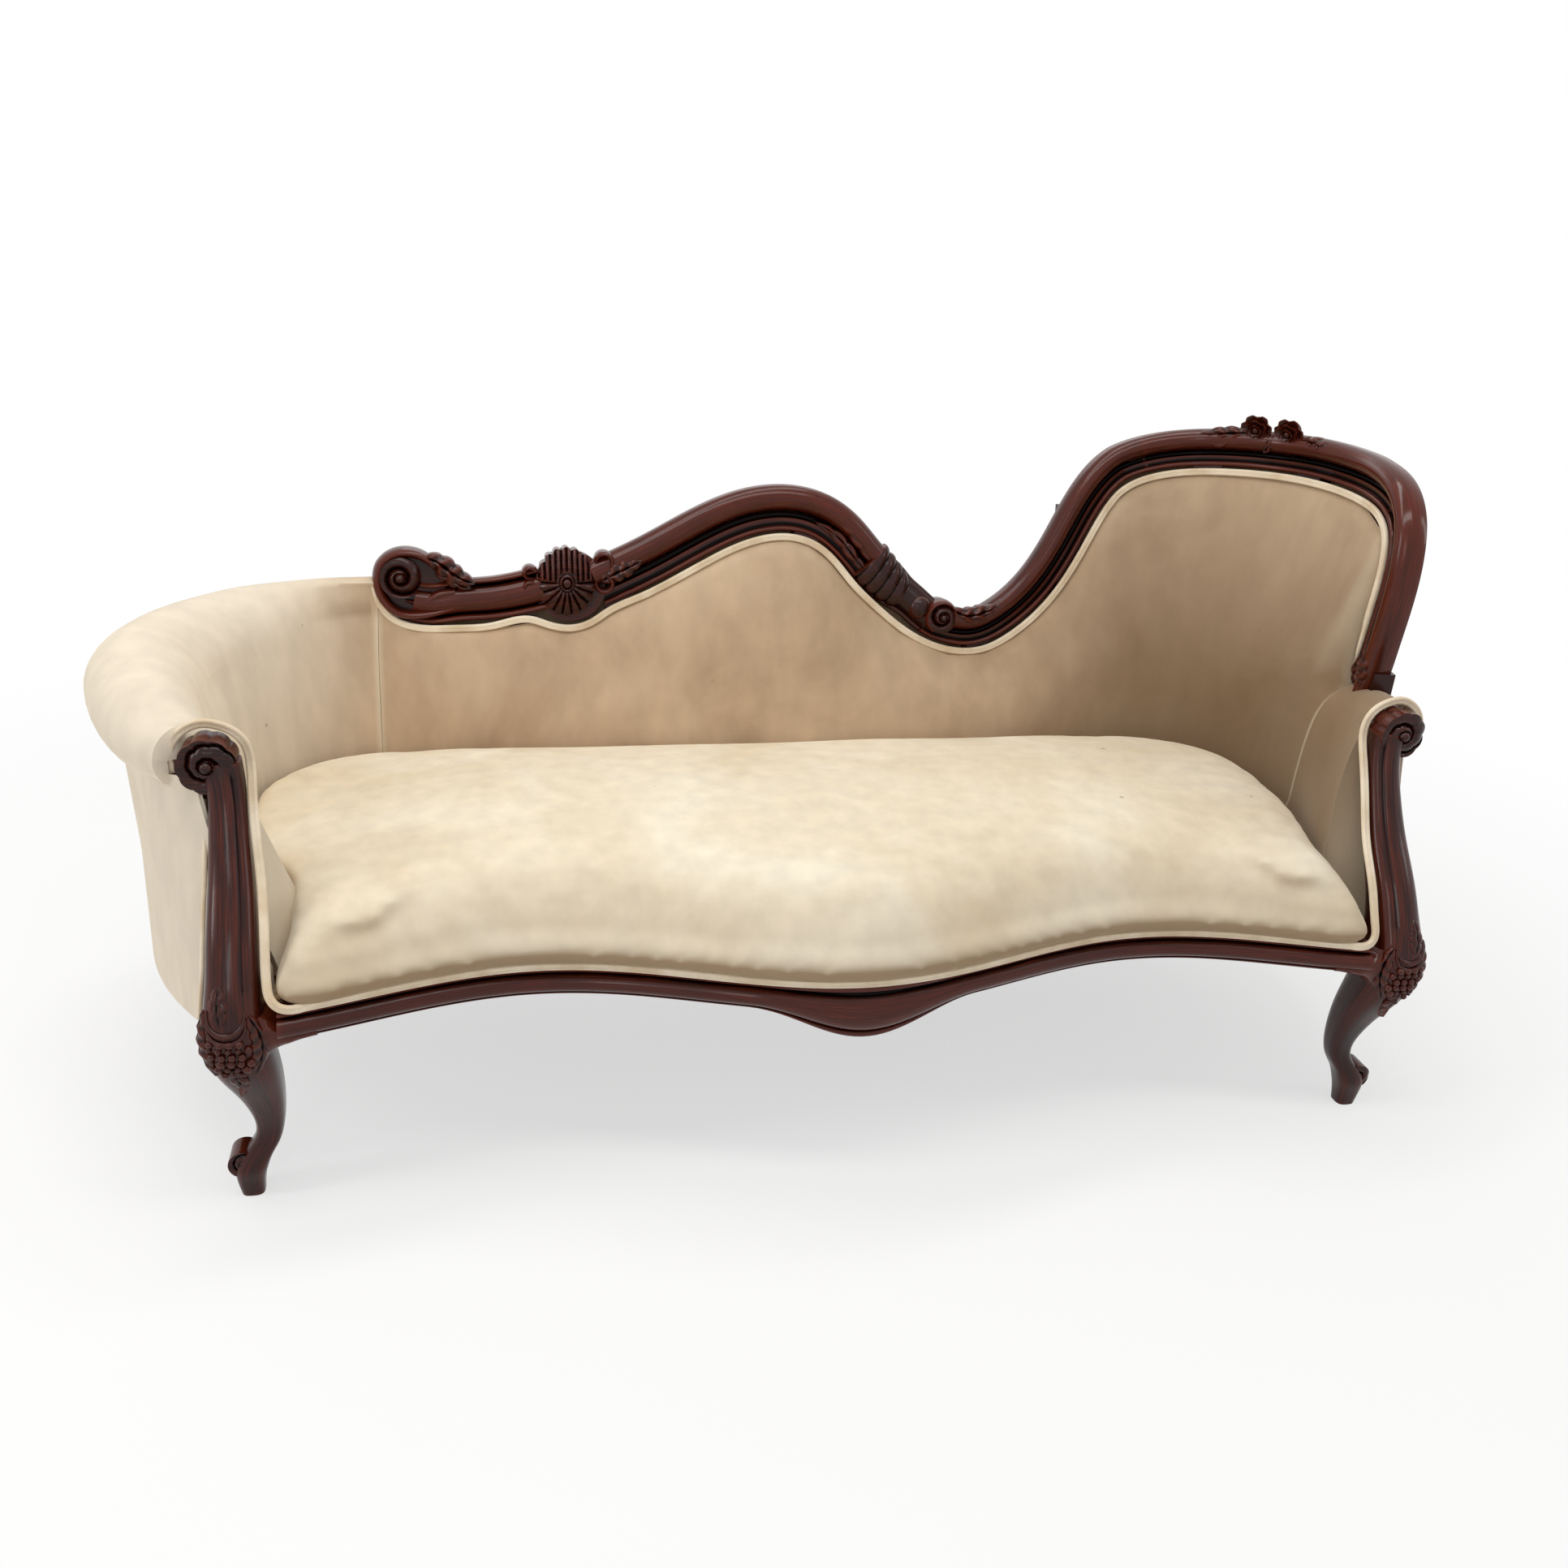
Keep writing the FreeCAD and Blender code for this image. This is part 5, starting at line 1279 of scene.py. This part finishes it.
def inner_edge(first, last, count, gap):
    """Marks on the crest's inner edge between two of its marks, set in by a gap."""
    rows = smooth_line(CREST, count, first, last)
    ways = np.gradient(rows[:, :2], axis=0)
    edge = []
    for row, way in zip(rows, ways):
        way = way / np.linalg.norm(way)
        half = row[2] / 2 + gap
        edge.append((row[0] + way[1] * half, row[1] - way[0] * half))
    return edge


PAD_START = -663
PAD_STOP = 1137
PAD_EDGE = edge_marks(PIPING_WIDE + 3)[:-1] + [(1119, 841), (1131, 822), (1138, 796)]
STILE_SIDE = [(1119, 841), (1131, 822), (1138, 796), (1140, 740), (1140, 600)]
EDGE_THICK = 17
LEAST_THICK = 12
PAD_LINE = np.array(PAD_EDGE + STILE_SIDE[3:])


def edge_distance(station, height):
    """Distance on the back from a place to the edge of its padding."""
    place = np.array((station, height))
    start = PAD_LINE[:-1]
    run = PAD_LINE[1:] - start
    part = np.clip(((place - start) * run).sum(axis=1) / (run * run).sum(axis=1), 0, 1)
    return float(np.linalg.norm(start + run * part[:, None] - place, axis=1).min())


def pad_face(station, height, top):
    """How far the padding of the back stands out from the frame line at this height."""
    thick = between(station, PADDINGS)
    part = min(1, max(0, (height - CREASE + 10) / (top - CREASE + 10)))
    full = thick + (EDGE_THICK - thick) * part + 44 * part * (1 - part)
    soft = EDGE_THICK + 54 * (1 - math.exp(-edge_distance(station, height) / 34))
    return max(LEAST_THICK, min(full, soft) - 3.5 * math.exp(-abs(full - soft) / 5))


def back_pad():
    """Padding of the back and the high end in one cover, soft along its corded edge."""
    rings = []
    for station in np.linspace(PAD_START, PAD_STOP, 190):
        top = between(station, PAD_EDGE)
        thick = between(station, PADDINGS)
        ring = [on_wall(station, PAD_FOOT, PAD_BACK), on_wall(station, PAD_FOOT, -thick),
                on_wall(station, STUFFED_HEIGHT, -thick)]
        for step in range(30):
            part = step / 29
            height = CREASE - 10 + (top - CREASE + 10) * part
            ring.append(on_wall(station, height, -pad_face(station, height, top)))
        ring.append(on_wall(station, top + 2, PAD_BACK))
        ring.append(on_wall(station, LEAN_HEIGHT, PAD_BACK))
        rings.append(ring)
    return piece("back_upholstery", [skin(rings)])


ROLLS = [(LEFT_POST, 44, 589), (LEFT_BEND - 60, 79, 596), (BACK_LEFT, 71, 600),
         (PAD_STOP, 34, 569), (RIGHT_POST, 41, 585)]
ROLL_RADII = [(station, radius) for station, radius, height in ROLLS]
ROLL_HEIGHTS = [(station, height) for station, radius, height in ROLLS]
POST_SIDE = [(200, 16), (330, 16), (394, 38), (450, 66), (505, 90), (548, 102), (800, 102)]
POST_BACK = [(200, 26), (330, 26), (394, 54), (450, 86), (505, 113), (548, 129.5), (562, 132),
             (800, 132)]


def roll_section(station):
    """(offset, height) outline of a padded arm with its roll, from the foot inside."""
    thick = between(station, PADDINGS)
    radius = between(station, ROLL_RADII)
    middle = between(station, ROLL_HEIGHTS)
    under = radius * math.sqrt(0.5)
    inner = smooth_line([(-thick, CREASE - 8),
                         (-thick * 0.62 - radius * 0.42, (CREASE + middle) / 2),
                         (-radius, middle)], 14)
    points = [(PAD_BACK, PAD_FOOT), (-thick, PAD_FOOT), (-thick, STUFFED_HEIGHT)]
    points += [(offset, height) for offset, height in inner[:-1]]
    points += ellipse(0, middle, radius, radius, 180, -45, 26)
    points += [(25, middle - under), (25, middle), (PAD_BACK, middle), (PAD_BACK, LEAN_HEIGHT)]
    return points


def post_station(post, height, edge):
    """Station at which the frame line meets a post's edge line at this height."""
    hand = math.copysign(1, post)
    run = np.linspace(post + hand * 100, post - hand * 180, 120)
    depths = [frame_line(station)[0].y for station in run]
    return float(np.interp(between(height, edge), depths, run))


def rolled_arm(name, start, stop, post):
    """Padded arm between a post and the back, its end lying against the post."""
    rings = []
    for step in range(60):
        part = step / 59
        ring = []
        for offset, height in roll_section(start + (stop - start) * part):
            limit = post_station(post, height, POST_BACK)
            first, last = (limit, stop) if post < 0 else (start, limit)
            joint, near = (PAD_STOP, 1 - part / 0.75) if post > 0 else (PAD_START, part / 0.30 - 7 / 3)
            if offset < -LEAST_THICK and height > CREASE - 10 and near > 0:
                face = -pad_face(joint, height, between(joint, PAD_EDGE))
                blend = near ** 2 * (3 - 2 * near) * min(1, (-offset - LEAST_THICK) / 22)
                offset += (face - offset) * blend
            ring.append(on_wall(first + (last - first) * part, height, offset))
        rings.append(ring)
    return piece(name, [skin(rings)])


# Seat

FRONT_CORNER = 737
CORNER_TURN = 28


def seat_outline():
    """Even points round the seat and, for each, its share of the front (1) or wall (0)."""
    def corner(side, angles):
        centre = front_depth(FRONT_CORNER) + CORNER_TURN
        return [(side * FRONT_CORNER + CORNER_TURN * math.cos(math.radians(angle)),
                 centre + CORNER_TURN * math.sin(math.radians(angle)), 1.0) for angle in angles]

    marks = [(x, front_depth(x), 1.0) for x in np.linspace(-FRONT_CORNER, FRONT_CORNER, 100)]
    marks += corner(1, range(-72, 19, 18)) + [(762, 10, 0.6), (757, 50, 0.2)]
    for station in np.linspace(RIGHT_POST + 6, LEFT_POST - 6, 150):
        point, _, normal = frame_line(station)
        place = point - normal * (between(station, PADDINGS) + 2)
        marks.append((place.x, place.y, 0.0))
    marks += [(-757, 50, 0.2), (-762, 10, 0.6)] + corner(-1, range(162, 253, 18))
    rows = np.array(marks + marks[:1])
    gaps = np.linalg.norm(np.diff(rows[:, :2], axis=0), axis=1)
    knots = np.concatenate(([0], np.cumsum(gaps)))
    places = np.linspace(0, knots[-1], 340, endpoint=False)
    even = np.stack([np.interp(places, knots, rows[:, column]) for column in range(3)], axis=1)
    for _ in range(3):
        even = 0.5 * even + 0.25 * (np.roll(even, 1, axis=0) + np.roll(even, -1, axis=0))
    return even


CROWN = 40
WALL_DEPTH = 625
NOSE_HEIGHT = 408
END_DROP = 20
SEAT_FOOT = 319
CORE_DEPTH = 300


def seat_top(x, y):
    """Height of the sprung seat's crown."""
    end = min(1, abs(x) / 790) ** 4
    front = front_depth(max(-FRONT_HALF, min(FRONT_HALF, x)))
    deep = (y - front) / (WALL_DEPTH - front)
    summit = CREASE + CROWN * (1 - 0.8 * end)
    brow = NOSE_HEIGHT - END_DROP * end
    if deep < 0.5:
        return summit - (summit - brow) * abs(1 - 2 * deep) ** 2.3
    return summit - (summit - CREASE) * min(1, 2 * deep - 1) ** 1.9


def seat():
    """Sprung seat in one cover: round nose over the cord, crowned top, tucked at the wall."""
    outline = seat_outline()
    way = np.roll(outline[:, :2], -1, axis=0) - np.roll(outline[:, :2], 1, axis=0)
    way = way / np.linalg.norm(way, axis=1)[:, None]
    for _ in range(6):
        way = 0.5 * way + 0.25 * (np.roll(way, 1, axis=0) + np.roll(way, -1, axis=0))
    way = way / np.linalg.norm(way, axis=1)[:, None]
    inward = np.stack((-way[:, 1], way[:, 0]), axis=1)
    rings = []
    side_steps = 12
    for step in range(-1, side_steps + 1):
        ring = []
        for (x, y, front), pull in zip(outline, inward):
            part = max(0, step / side_steps)
            end = min(1, abs(x) / FRONT_HALF) ** 4
            brow = NOSE_HEIGHT - END_DROP * end
            bulge = -29 * (1 - 0.5 * end) * math.sin(math.pi * part ** 0.85) ** 0.8 + 2 * part
            inset = front * bulge + (1 - front) * 5 * part ** 4
            nose = SEAT_FOOT + (brow - 37 - SEAT_FOOT) * part
            height = front * nose + (1 - front) * (SEAT_FOOT + 75 * part)
            if step < 0:
                height = PAD_FOOT
                inset = 5 * front
            ring.append(Vector((x + pull[0] * inset, y + pull[1] * inset, height)))
        rings.append(ring)
    for inset in (5, 11, 18, 27, 38, 52, 70, 92, 116):
        ring = []
        for (x, y, front), pull in zip(outline, inward):
            reach = inset + 3 * front
            px = x + pull[0] * reach
            py = y + pull[1] * reach
            tuck = 14 * math.exp(-inset / 7) * (1 - front)
            tuck += 33 * max(0, 1 - inset / 125) ** 2.3 * front
            ring.append(Vector((px, py, seat_top(px, py) - tuck)))
        rings.append(ring)
    last = rings[-1]
    for part in (0.95, 0.88, 0.8, 0.7, 0.6, 0.5, 0.4, 0.3, 0.2, 0.1, 0.03):
        ring = []
        for point in last:
            core = max(-520, min(500, point.x * 0.7))
            px = core + (point.x - core) * part
            py = CORE_DEPTH + (point.y - CORE_DEPTH) * part
            ring.append(Vector((px, py, seat_top(px, py))))
        rings.append(ring)
    return piece("seat_upholstery", [skin(rings)])


FILL_FRAMES = 20


def swell(made, voxel, pressure, most):
    """Even out a pad's mesh, let its cloth fill under pressure, and cap how far it moves."""
    pick(made)
    remesh = made.modifiers.new("even_mesh", "REMESH")
    remesh.mode = "VOXEL"
    remesh.voxel_size = voxel * MM
    apply_all(made)
    relax = made.modifiers.new("relax", "SMOOTH")
    relax.factor = 0.5
    relax.iterations = 4
    apply_all(made)
    count = len(made.data.vertices)
    before = np.empty(count * 3)
    made.data.vertices.foreach_get("co", before)
    cloth = made.modifiers.new("fill", "CLOTH")
    cloth.settings.use_pressure = True
    cloth.settings.uniform_pressure_force = pressure
    cloth.settings.effector_weights.gravity = 0
    cloth.settings.quality = 4
    cloth.collision_settings.use_collision = False
    cloth.point_cache.frame_start = 1
    cloth.point_cache.frame_end = FILL_FRAMES
    scene = bpy.context.scene
    for number in range(1, FILL_FRAMES + 1):
        scene.frame_set(number)
    apply_all(made)
    scene.frame_set(1)
    after = np.empty(count * 3)
    made.data.vertices.foreach_get("co", after)
    move = (after - before).reshape(-1, 3)
    length = np.linalg.norm(move, axis=1)
    share = most * MM * np.tanh(length / (most * MM)) / np.maximum(length, 1e-9)
    settled = before.reshape(-1, 3) + move * share[:, None]
    made.data.vertices.foreach_set("co", settled.ravel())
    made.data.update()


def settle_unevenly(made, wave, depth, seed):
    """Press shallow hollows and lumps into a pad, as use leaves them."""
    places = [vertex.co.copy() for vertex in made.data.vertices]
    normals = [vertex.normal.copy() for vertex in made.data.vertices]
    shift = Vector((seed, seed * 2, seed * 3))
    moved = []
    for place, normal in zip(places, normals):
        lump = noise.noise(place / (wave * MM) + shift)
        moved.extend(place + normal * (lump * depth * MM))
    made.data.vertices.foreach_set("co", moved)
    made.data.update()


# Outside covers, bottom cloth and cords

def cover_area(rows):
    """Area of one side of a cloth given as rows of points, in square metres."""
    total = 0.0
    for first, last in zip(rows, rows[1:]):
        for index in range(len(first) - 1):
            a, b, c, d = first[index], first[index + 1], last[index + 1], last[index]
            total += ((b - a).cross(c - a).length + (c - a).cross(d - a).length) / 2
    return total * MM * MM


COVER_CLOTH = 1.6
COVER_FOOT = 230
COVER_OUT = 43.5
COVER_TOP_OUT = 27
POST_PULL = 29
PULL_RUN = 110
CLOTH_HEIGHT = 256.6


def outside_cover(name, start, stop, tops, fullness, spans):
    """Outside cover, drawn tight from the seat rail to the crest or roll, and on to a post."""
    rows = []
    rings = []
    for share in np.linspace(0, 1, spans + 1):
        outer = []
        for step in range(19):
            part = step / 18
            top = between(start + (stop - start) * share, tops)
            height = COVER_FOOT + (top - COVER_FOOT) * part
            first = post_station(start, height, POST_SIDE) if start == LEFT_POST else start
            last = post_station(stop, height, POST_SIDE) if stop == RIGHT_POST else stop
            station = first + (last - first) * share
            offset = COVER_OUT + (COVER_TOP_OUT + fullness - COVER_OUT) * part
            if start == LEFT_POST:
                offset -= POST_PULL * max(0, 1 - (station - first) / PULL_RUN) ** 2
            if stop == RIGHT_POST:
                offset -= POST_PULL * max(0, 1 - (last - station) / PULL_RUN) ** 2
            outer.append((station, height, offset))
        rows.append([on_wall(*place) for place in outer])
        inner = [on_wall(station, height, offset - COVER_CLOTH)
                 for station, height, offset in outer[::-1]]
        rings.append(rows[-1] + inner)
    made = piece(name, [skin(rings)])
    wide = sum((b[9] - a[9]).length for a, b in zip(rows, rows[1:])) * MM
    tall = max(sum((b - a).length for a, b in zip(row, row[1:])) for row in rows) * MM
    return made, (wide, tall), cover_area(rows)


def bottom_cloth():
    """Black cambric tacked inside the seat rails, sagging a little."""
    outline = []
    for station in np.linspace(LEFT_POST + 60, RIGHT_POST - 60, 120):
        point, _, normal = frame_line(station)
        place = point + normal * 3
        outline.append((place.x, place.y))
    for x in np.linspace(735, -735, 90):
        outline.append((x, front_depth(x) + 46))
    rings = []
    loops = [1, 0.9, 0.75, 0.6, 0.45, 0.3, 0.15, 0.04]
    for thick, parts in ((0, loops[::-1]), (1.4, loops)):
        for part in parts:
            ring = []
            for x, y in outline:
                core = max(-520, min(500, x * 0.7))
                sag = 5 * (1 - part * part)
                ring.append(Vector((core + (x - core) * part, CORE_DEPTH + (y - CORE_DEPTH) * part,
                                    CLOTH_HEIGHT + thick - sag)))
            rings.append(ring)
    area = cover_area([ring + ring[:1] for ring in rings[:len(loops)]])
    return piece("bottom_cloth_cambric", [skin(rings)]), area


def piping(name, marks, wide=PIPING_WIDE, thick=PIPING_THICK):
    """Double cord through (place, facing) marks, lying flat on what it covers."""
    lobe = wide / 4
    section = []
    for middle, angles in ((-lobe, range(250, 40, -30)), (lobe, range(130, -80, -30))):
        section += [(middle + lobe * 1.04 * math.cos(math.radians(angle)),
                     thick / 2 + thick / 2 * math.sin(math.radians(angle))) for angle in angles]
    rings = []
    for index, (place, facing) in enumerate(marks):
        before = marks[max(0, index - 1)][0]
        after = marks[min(len(marks) - 1, index + 1)][0]
        way = (after - before).normalized()
        side = way.cross(facing).normalized()
        out = side.cross(way).normalized()
        rings.append([place + side * across + out * lift for across, lift in section])
    return piece(name, [skin(rings)])


def front_marks():
    """Front piping along the top of the rail."""
    return [(Vector((x, front_depth(x) + 4, RAIL_TOP + PIPING_WIDE / 2)), Vector((0, -1, 0)))
            for x in np.linspace(-740, 740, 200)]


def crest_marks():
    """Piping along the crest's inner edge and down the stile."""
    gap = PIPING_WIDE / 2 + 1.5
    places = [(-668, 662)] + [mark for mark in edge_marks(gap) if -656 < mark[0] < 1085]
    places += inner_edge(ARCH_END, len(CREST) - 1, 7, gap)
    return [(on_wall(station, height, PAD_BACK), -frame_line(station)[2])
            for station, height in smooth_line(places, 420)]


def post_marks(side):
    """Piping round the seat's front corner, up the post and over the roll's end."""
    rows = [(-730, front_depth(730) + 4, 318), (-744, front_depth(744) + 3, 318),
            (-758, -46, 320), (-769, -38, 328), (-774, -26, 342), (-776, -2, 385),
            (-780, 42, 442), (-787, 78, 500), (-791, 106, 548)]
    full = 45 if side < 0 else 42
    for degrees in range(0, 201, 25):
        turn = math.radians(degrees)
        reach = full + 9 * max(0, (degrees - 75) / 125) ** 0.7
        rows.append((-POST_REACH - 2 + reach * math.cos(turn), 128,
                     ARM_SCROLL_HEIGHT + reach * math.sin(turn)))
    return [(Vector((-side * x, y, z)), Vector((0, -1, 0)))
            for x, y, z in smooth_line(rows, 150, measured=3)]


def outer_post_marks(side):
    """Thin cord behind the post, along the front edge of the outside cover."""
    facing = Vector((side, -0.4, 0)).normalized()
    return [(upright_point(side, -196, height, 3), facing) for height in np.linspace(236, 540, 60)]


# Inside the upholstery

MERGE_DISTANCE = 0.00005


def node_copy(node, name):
    """A new piece with a merged copy of a node's mesh."""
    mesh = frame["nodes"][node].data.copy()
    made = bpy.data.objects.new(name, mesh)
    bpy.context.scene.collection.objects.link(made)
    face_outwards(made, MERGE_DISTANCE)
    return made


def hessian_sheet():
    """Hessian stretched over the springs, dented a little between them."""
    low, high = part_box("spring_hessian")
    bpy.ops.mesh.primitive_grid_add(x_subdivisions=66, y_subdivisions=24, size=1,
                                    location=(low + high) / 2)
    bpy.context.active_object.scale = (high.x - low.x, high.y - low.y, 1)
    made = settle_transform("spring_hessian_cloth")
    for vertex in made.data.vertices:
        vertex.co.z += 0.0006 * math.sin(vertex.co.x * 36) * math.sin(vertex.co.y * 28) - 0.0006
    wall = made.modifiers.new("cloth", "SOLIDIFY")
    wall.thickness = 0.0012
    wall.offset = 0
    apply_all(made)
    return made, (high.x - low.x, high.y - low.y)


# The couch put together

set_camera()
studio()
white_floor()

mahogany = polished_mahogany()
# The seat's lighter velvet and the back's darker one are partly one cloth painted lit and shaded, the
# seat lit from above and the upright back in shade, partly a real difference in the nap.
seat_velvet = worn_velvet("worn_velvet_seat", "#EDE3CE", "#DFCFB2", 0.3, front_shade=0.9)
back_velvet = worn_velvet("worn_velvet_back", "#CDB496", "#B2977A", 0.4, painted_shade=0.85, left_light=0.8)
cord = covered_cord()
beech = sawn_beech()
steel = coppered_steel()
jute = plain_weave("jute_webbing", "#C2A473", "#7D6138", 800, 0.0006)
hessian = plain_weave("jute_hessian", "#BFA378", "#6E5635", 700, 0.0004)
cambric = plain_weave("black_cambric", "#2B2A29", "#141414", 1400, 0.0002)
horsehair = curled_horsehair()

carved = [
    (low_crest(), ["crest_low_rail"]),
    (shell(), ["crest_shell_boss"]),
    (hump(), ["crest_hump_rail"]),
    (sweep_rail(), ["crest_sweep_rail"]),
    (piece("moulded_arch_rail", [stretch(SWEEP_END, ARCH_END, 90)]), ["crest_arch_rail"]),
    (stile(), ["crest_stile"]),
    (roses(), ["crest_flowers"]),
    (upright("carved_upright_left", -1), ["front_upright_left"]),
    (upright("carved_upright_right", 1), ["front_upright_right"]),
    (front_rail(), ["front_rail"]),
    (rear_leg("raked_leg_left", -640), ["rear_leg_left"]),
    (rear_leg("raked_leg_right", 585), ["rear_leg_right"]),
]
for made, nodes in carved:
    mark_hollows(made, 1.6)
    dress(made, mahogany, nodes)

seat_pad = seat()
swell(seat_pad, 10, 3.0, 7)
settle_unevenly(seat_pad, 210, 4.0, 3.1)
finish = seat_pad.modifiers.new("soft", "SUBSURF")
finish.levels = 1
finish.render_levels = 1
apply_all(seat_pad)
mark_hollows(seat_pad, 9)
dress(seat_pad, seat_velvet, ["seat_cover"], 60)

back = back_pad()
settle_unevenly(back, 160, 3.0, 7.7)
mark_hollows(back, 9)
dress(back, back_velvet, ["inside_back_pad", "high_end_pad"], 60)

for name, start, stop, post, node in (
        ("long_arm_upholstery", LEFT_POST, PAD_START - 1, LEFT_POST, "long_arm_pad"),
        ("short_arm_upholstery", PAD_STOP + 1, RIGHT_POST, RIGHT_POST, "short_arm_pad")):
    arm = rolled_arm(name, start, stop, post)
    settle_unevenly(arm, 120, 2.6, 5.5)
    mark_hollows(arm, 9)
    dress(arm, back_velvet, [node], 60)

EDGE_TOPS = [(station, top + 9) for station, top in edge_marks(0)]
ROLL_UNDERS = [(station, height - radius * math.sqrt(0.5) + 16) for station, radius, height in ROLLS]
for name, start, stop, tops, fullness, spans in (
        ("outside_back", PAD_START, BACK_RIGHT, EDGE_TOPS, 0, 90),
        ("outside_high_end", BACK_RIGHT + 0.5, PAD_STOP, EDGE_TOPS, 0, 50),
        ("outside_long_arm", LEFT_POST, PAD_START - 0.5, ROLL_UNDERS, 12, 60),
        ("outside_short_arm", PAD_STOP + 0.5, RIGHT_POST, ROLL_UNDERS, 12, 20)):
    cover, flat, area = outside_cover(name + "_cover", start, stop, tops, fullness, spans)
    dress(cover, back_velvet, [name], 60)

for name, marks, nodes in (
        ("front_piping", front_marks(), ["piping_seat_front"]),
        ("crest_piping", crest_marks(), ["piping_crest"]),
        ("left_post_piping", post_marks(-1), ["piping_left_post"]),
        ("right_post_piping", post_marks(1), ["piping_right_post"])):
    dress(piping(name, marks), cord, nodes, 70)
for name, side in (("left_outer_cord", -1), ("right_outer_cord", 1)):
    dress(piping(name, outer_post_marks(side), 7, 6), cord, [], 70)

under, area = bottom_cloth()
dress(under, cambric, ["bottom_cloth"], 60)

hair = node_copy("seat_stuffing", "seat_stuffing_hair")
remesh = hair.modifiers.new("even_mesh", "REMESH")
remesh.mode = "VOXEL"
remesh.voxel_size = 0.012
relax = hair.modifiers.new("relax", "SMOOTH")
relax.iterations = 6
apply_all(hair)
settle_unevenly(hair, 30, 3.0, 1.7)
if not hair.data.uv_layers:
    hair.data.uv_layers.new(name="grain")
dress(hair, horsehair, ["seat_stuffing"], 60)

sheet, flat = hessian_sheet()
dress(sheet, hessian, ["spring_hessian"], 60)

for node in ("webbing_crosswise", "webbing_lengthwise"):
    straps = node_copy(node, node + "_straps")
    dress(straps, jute, [node], 30)

for node in ("arm_posts", "arm_rail_left", "arm_rail_right", "back_posts", "corner_blocks",
             "high_end_posts", "seat_rail_back", "seat_rail_left", "seat_rail_right",
             "seat_stretchers", "tacking_rails_back", "tacking_rails_left",
             "tacking_rails_right", "crest_dowels", "seat_springs"):
    material = beech
    if node == "seat_springs":
        material = steel
    elif node in ("crest_dowels", "high_end_posts", "back_posts"):
        material = mahogany
    plain = frame["nodes"][node]
    plain.data.materials.clear()
    plain.data.materials.append(material)
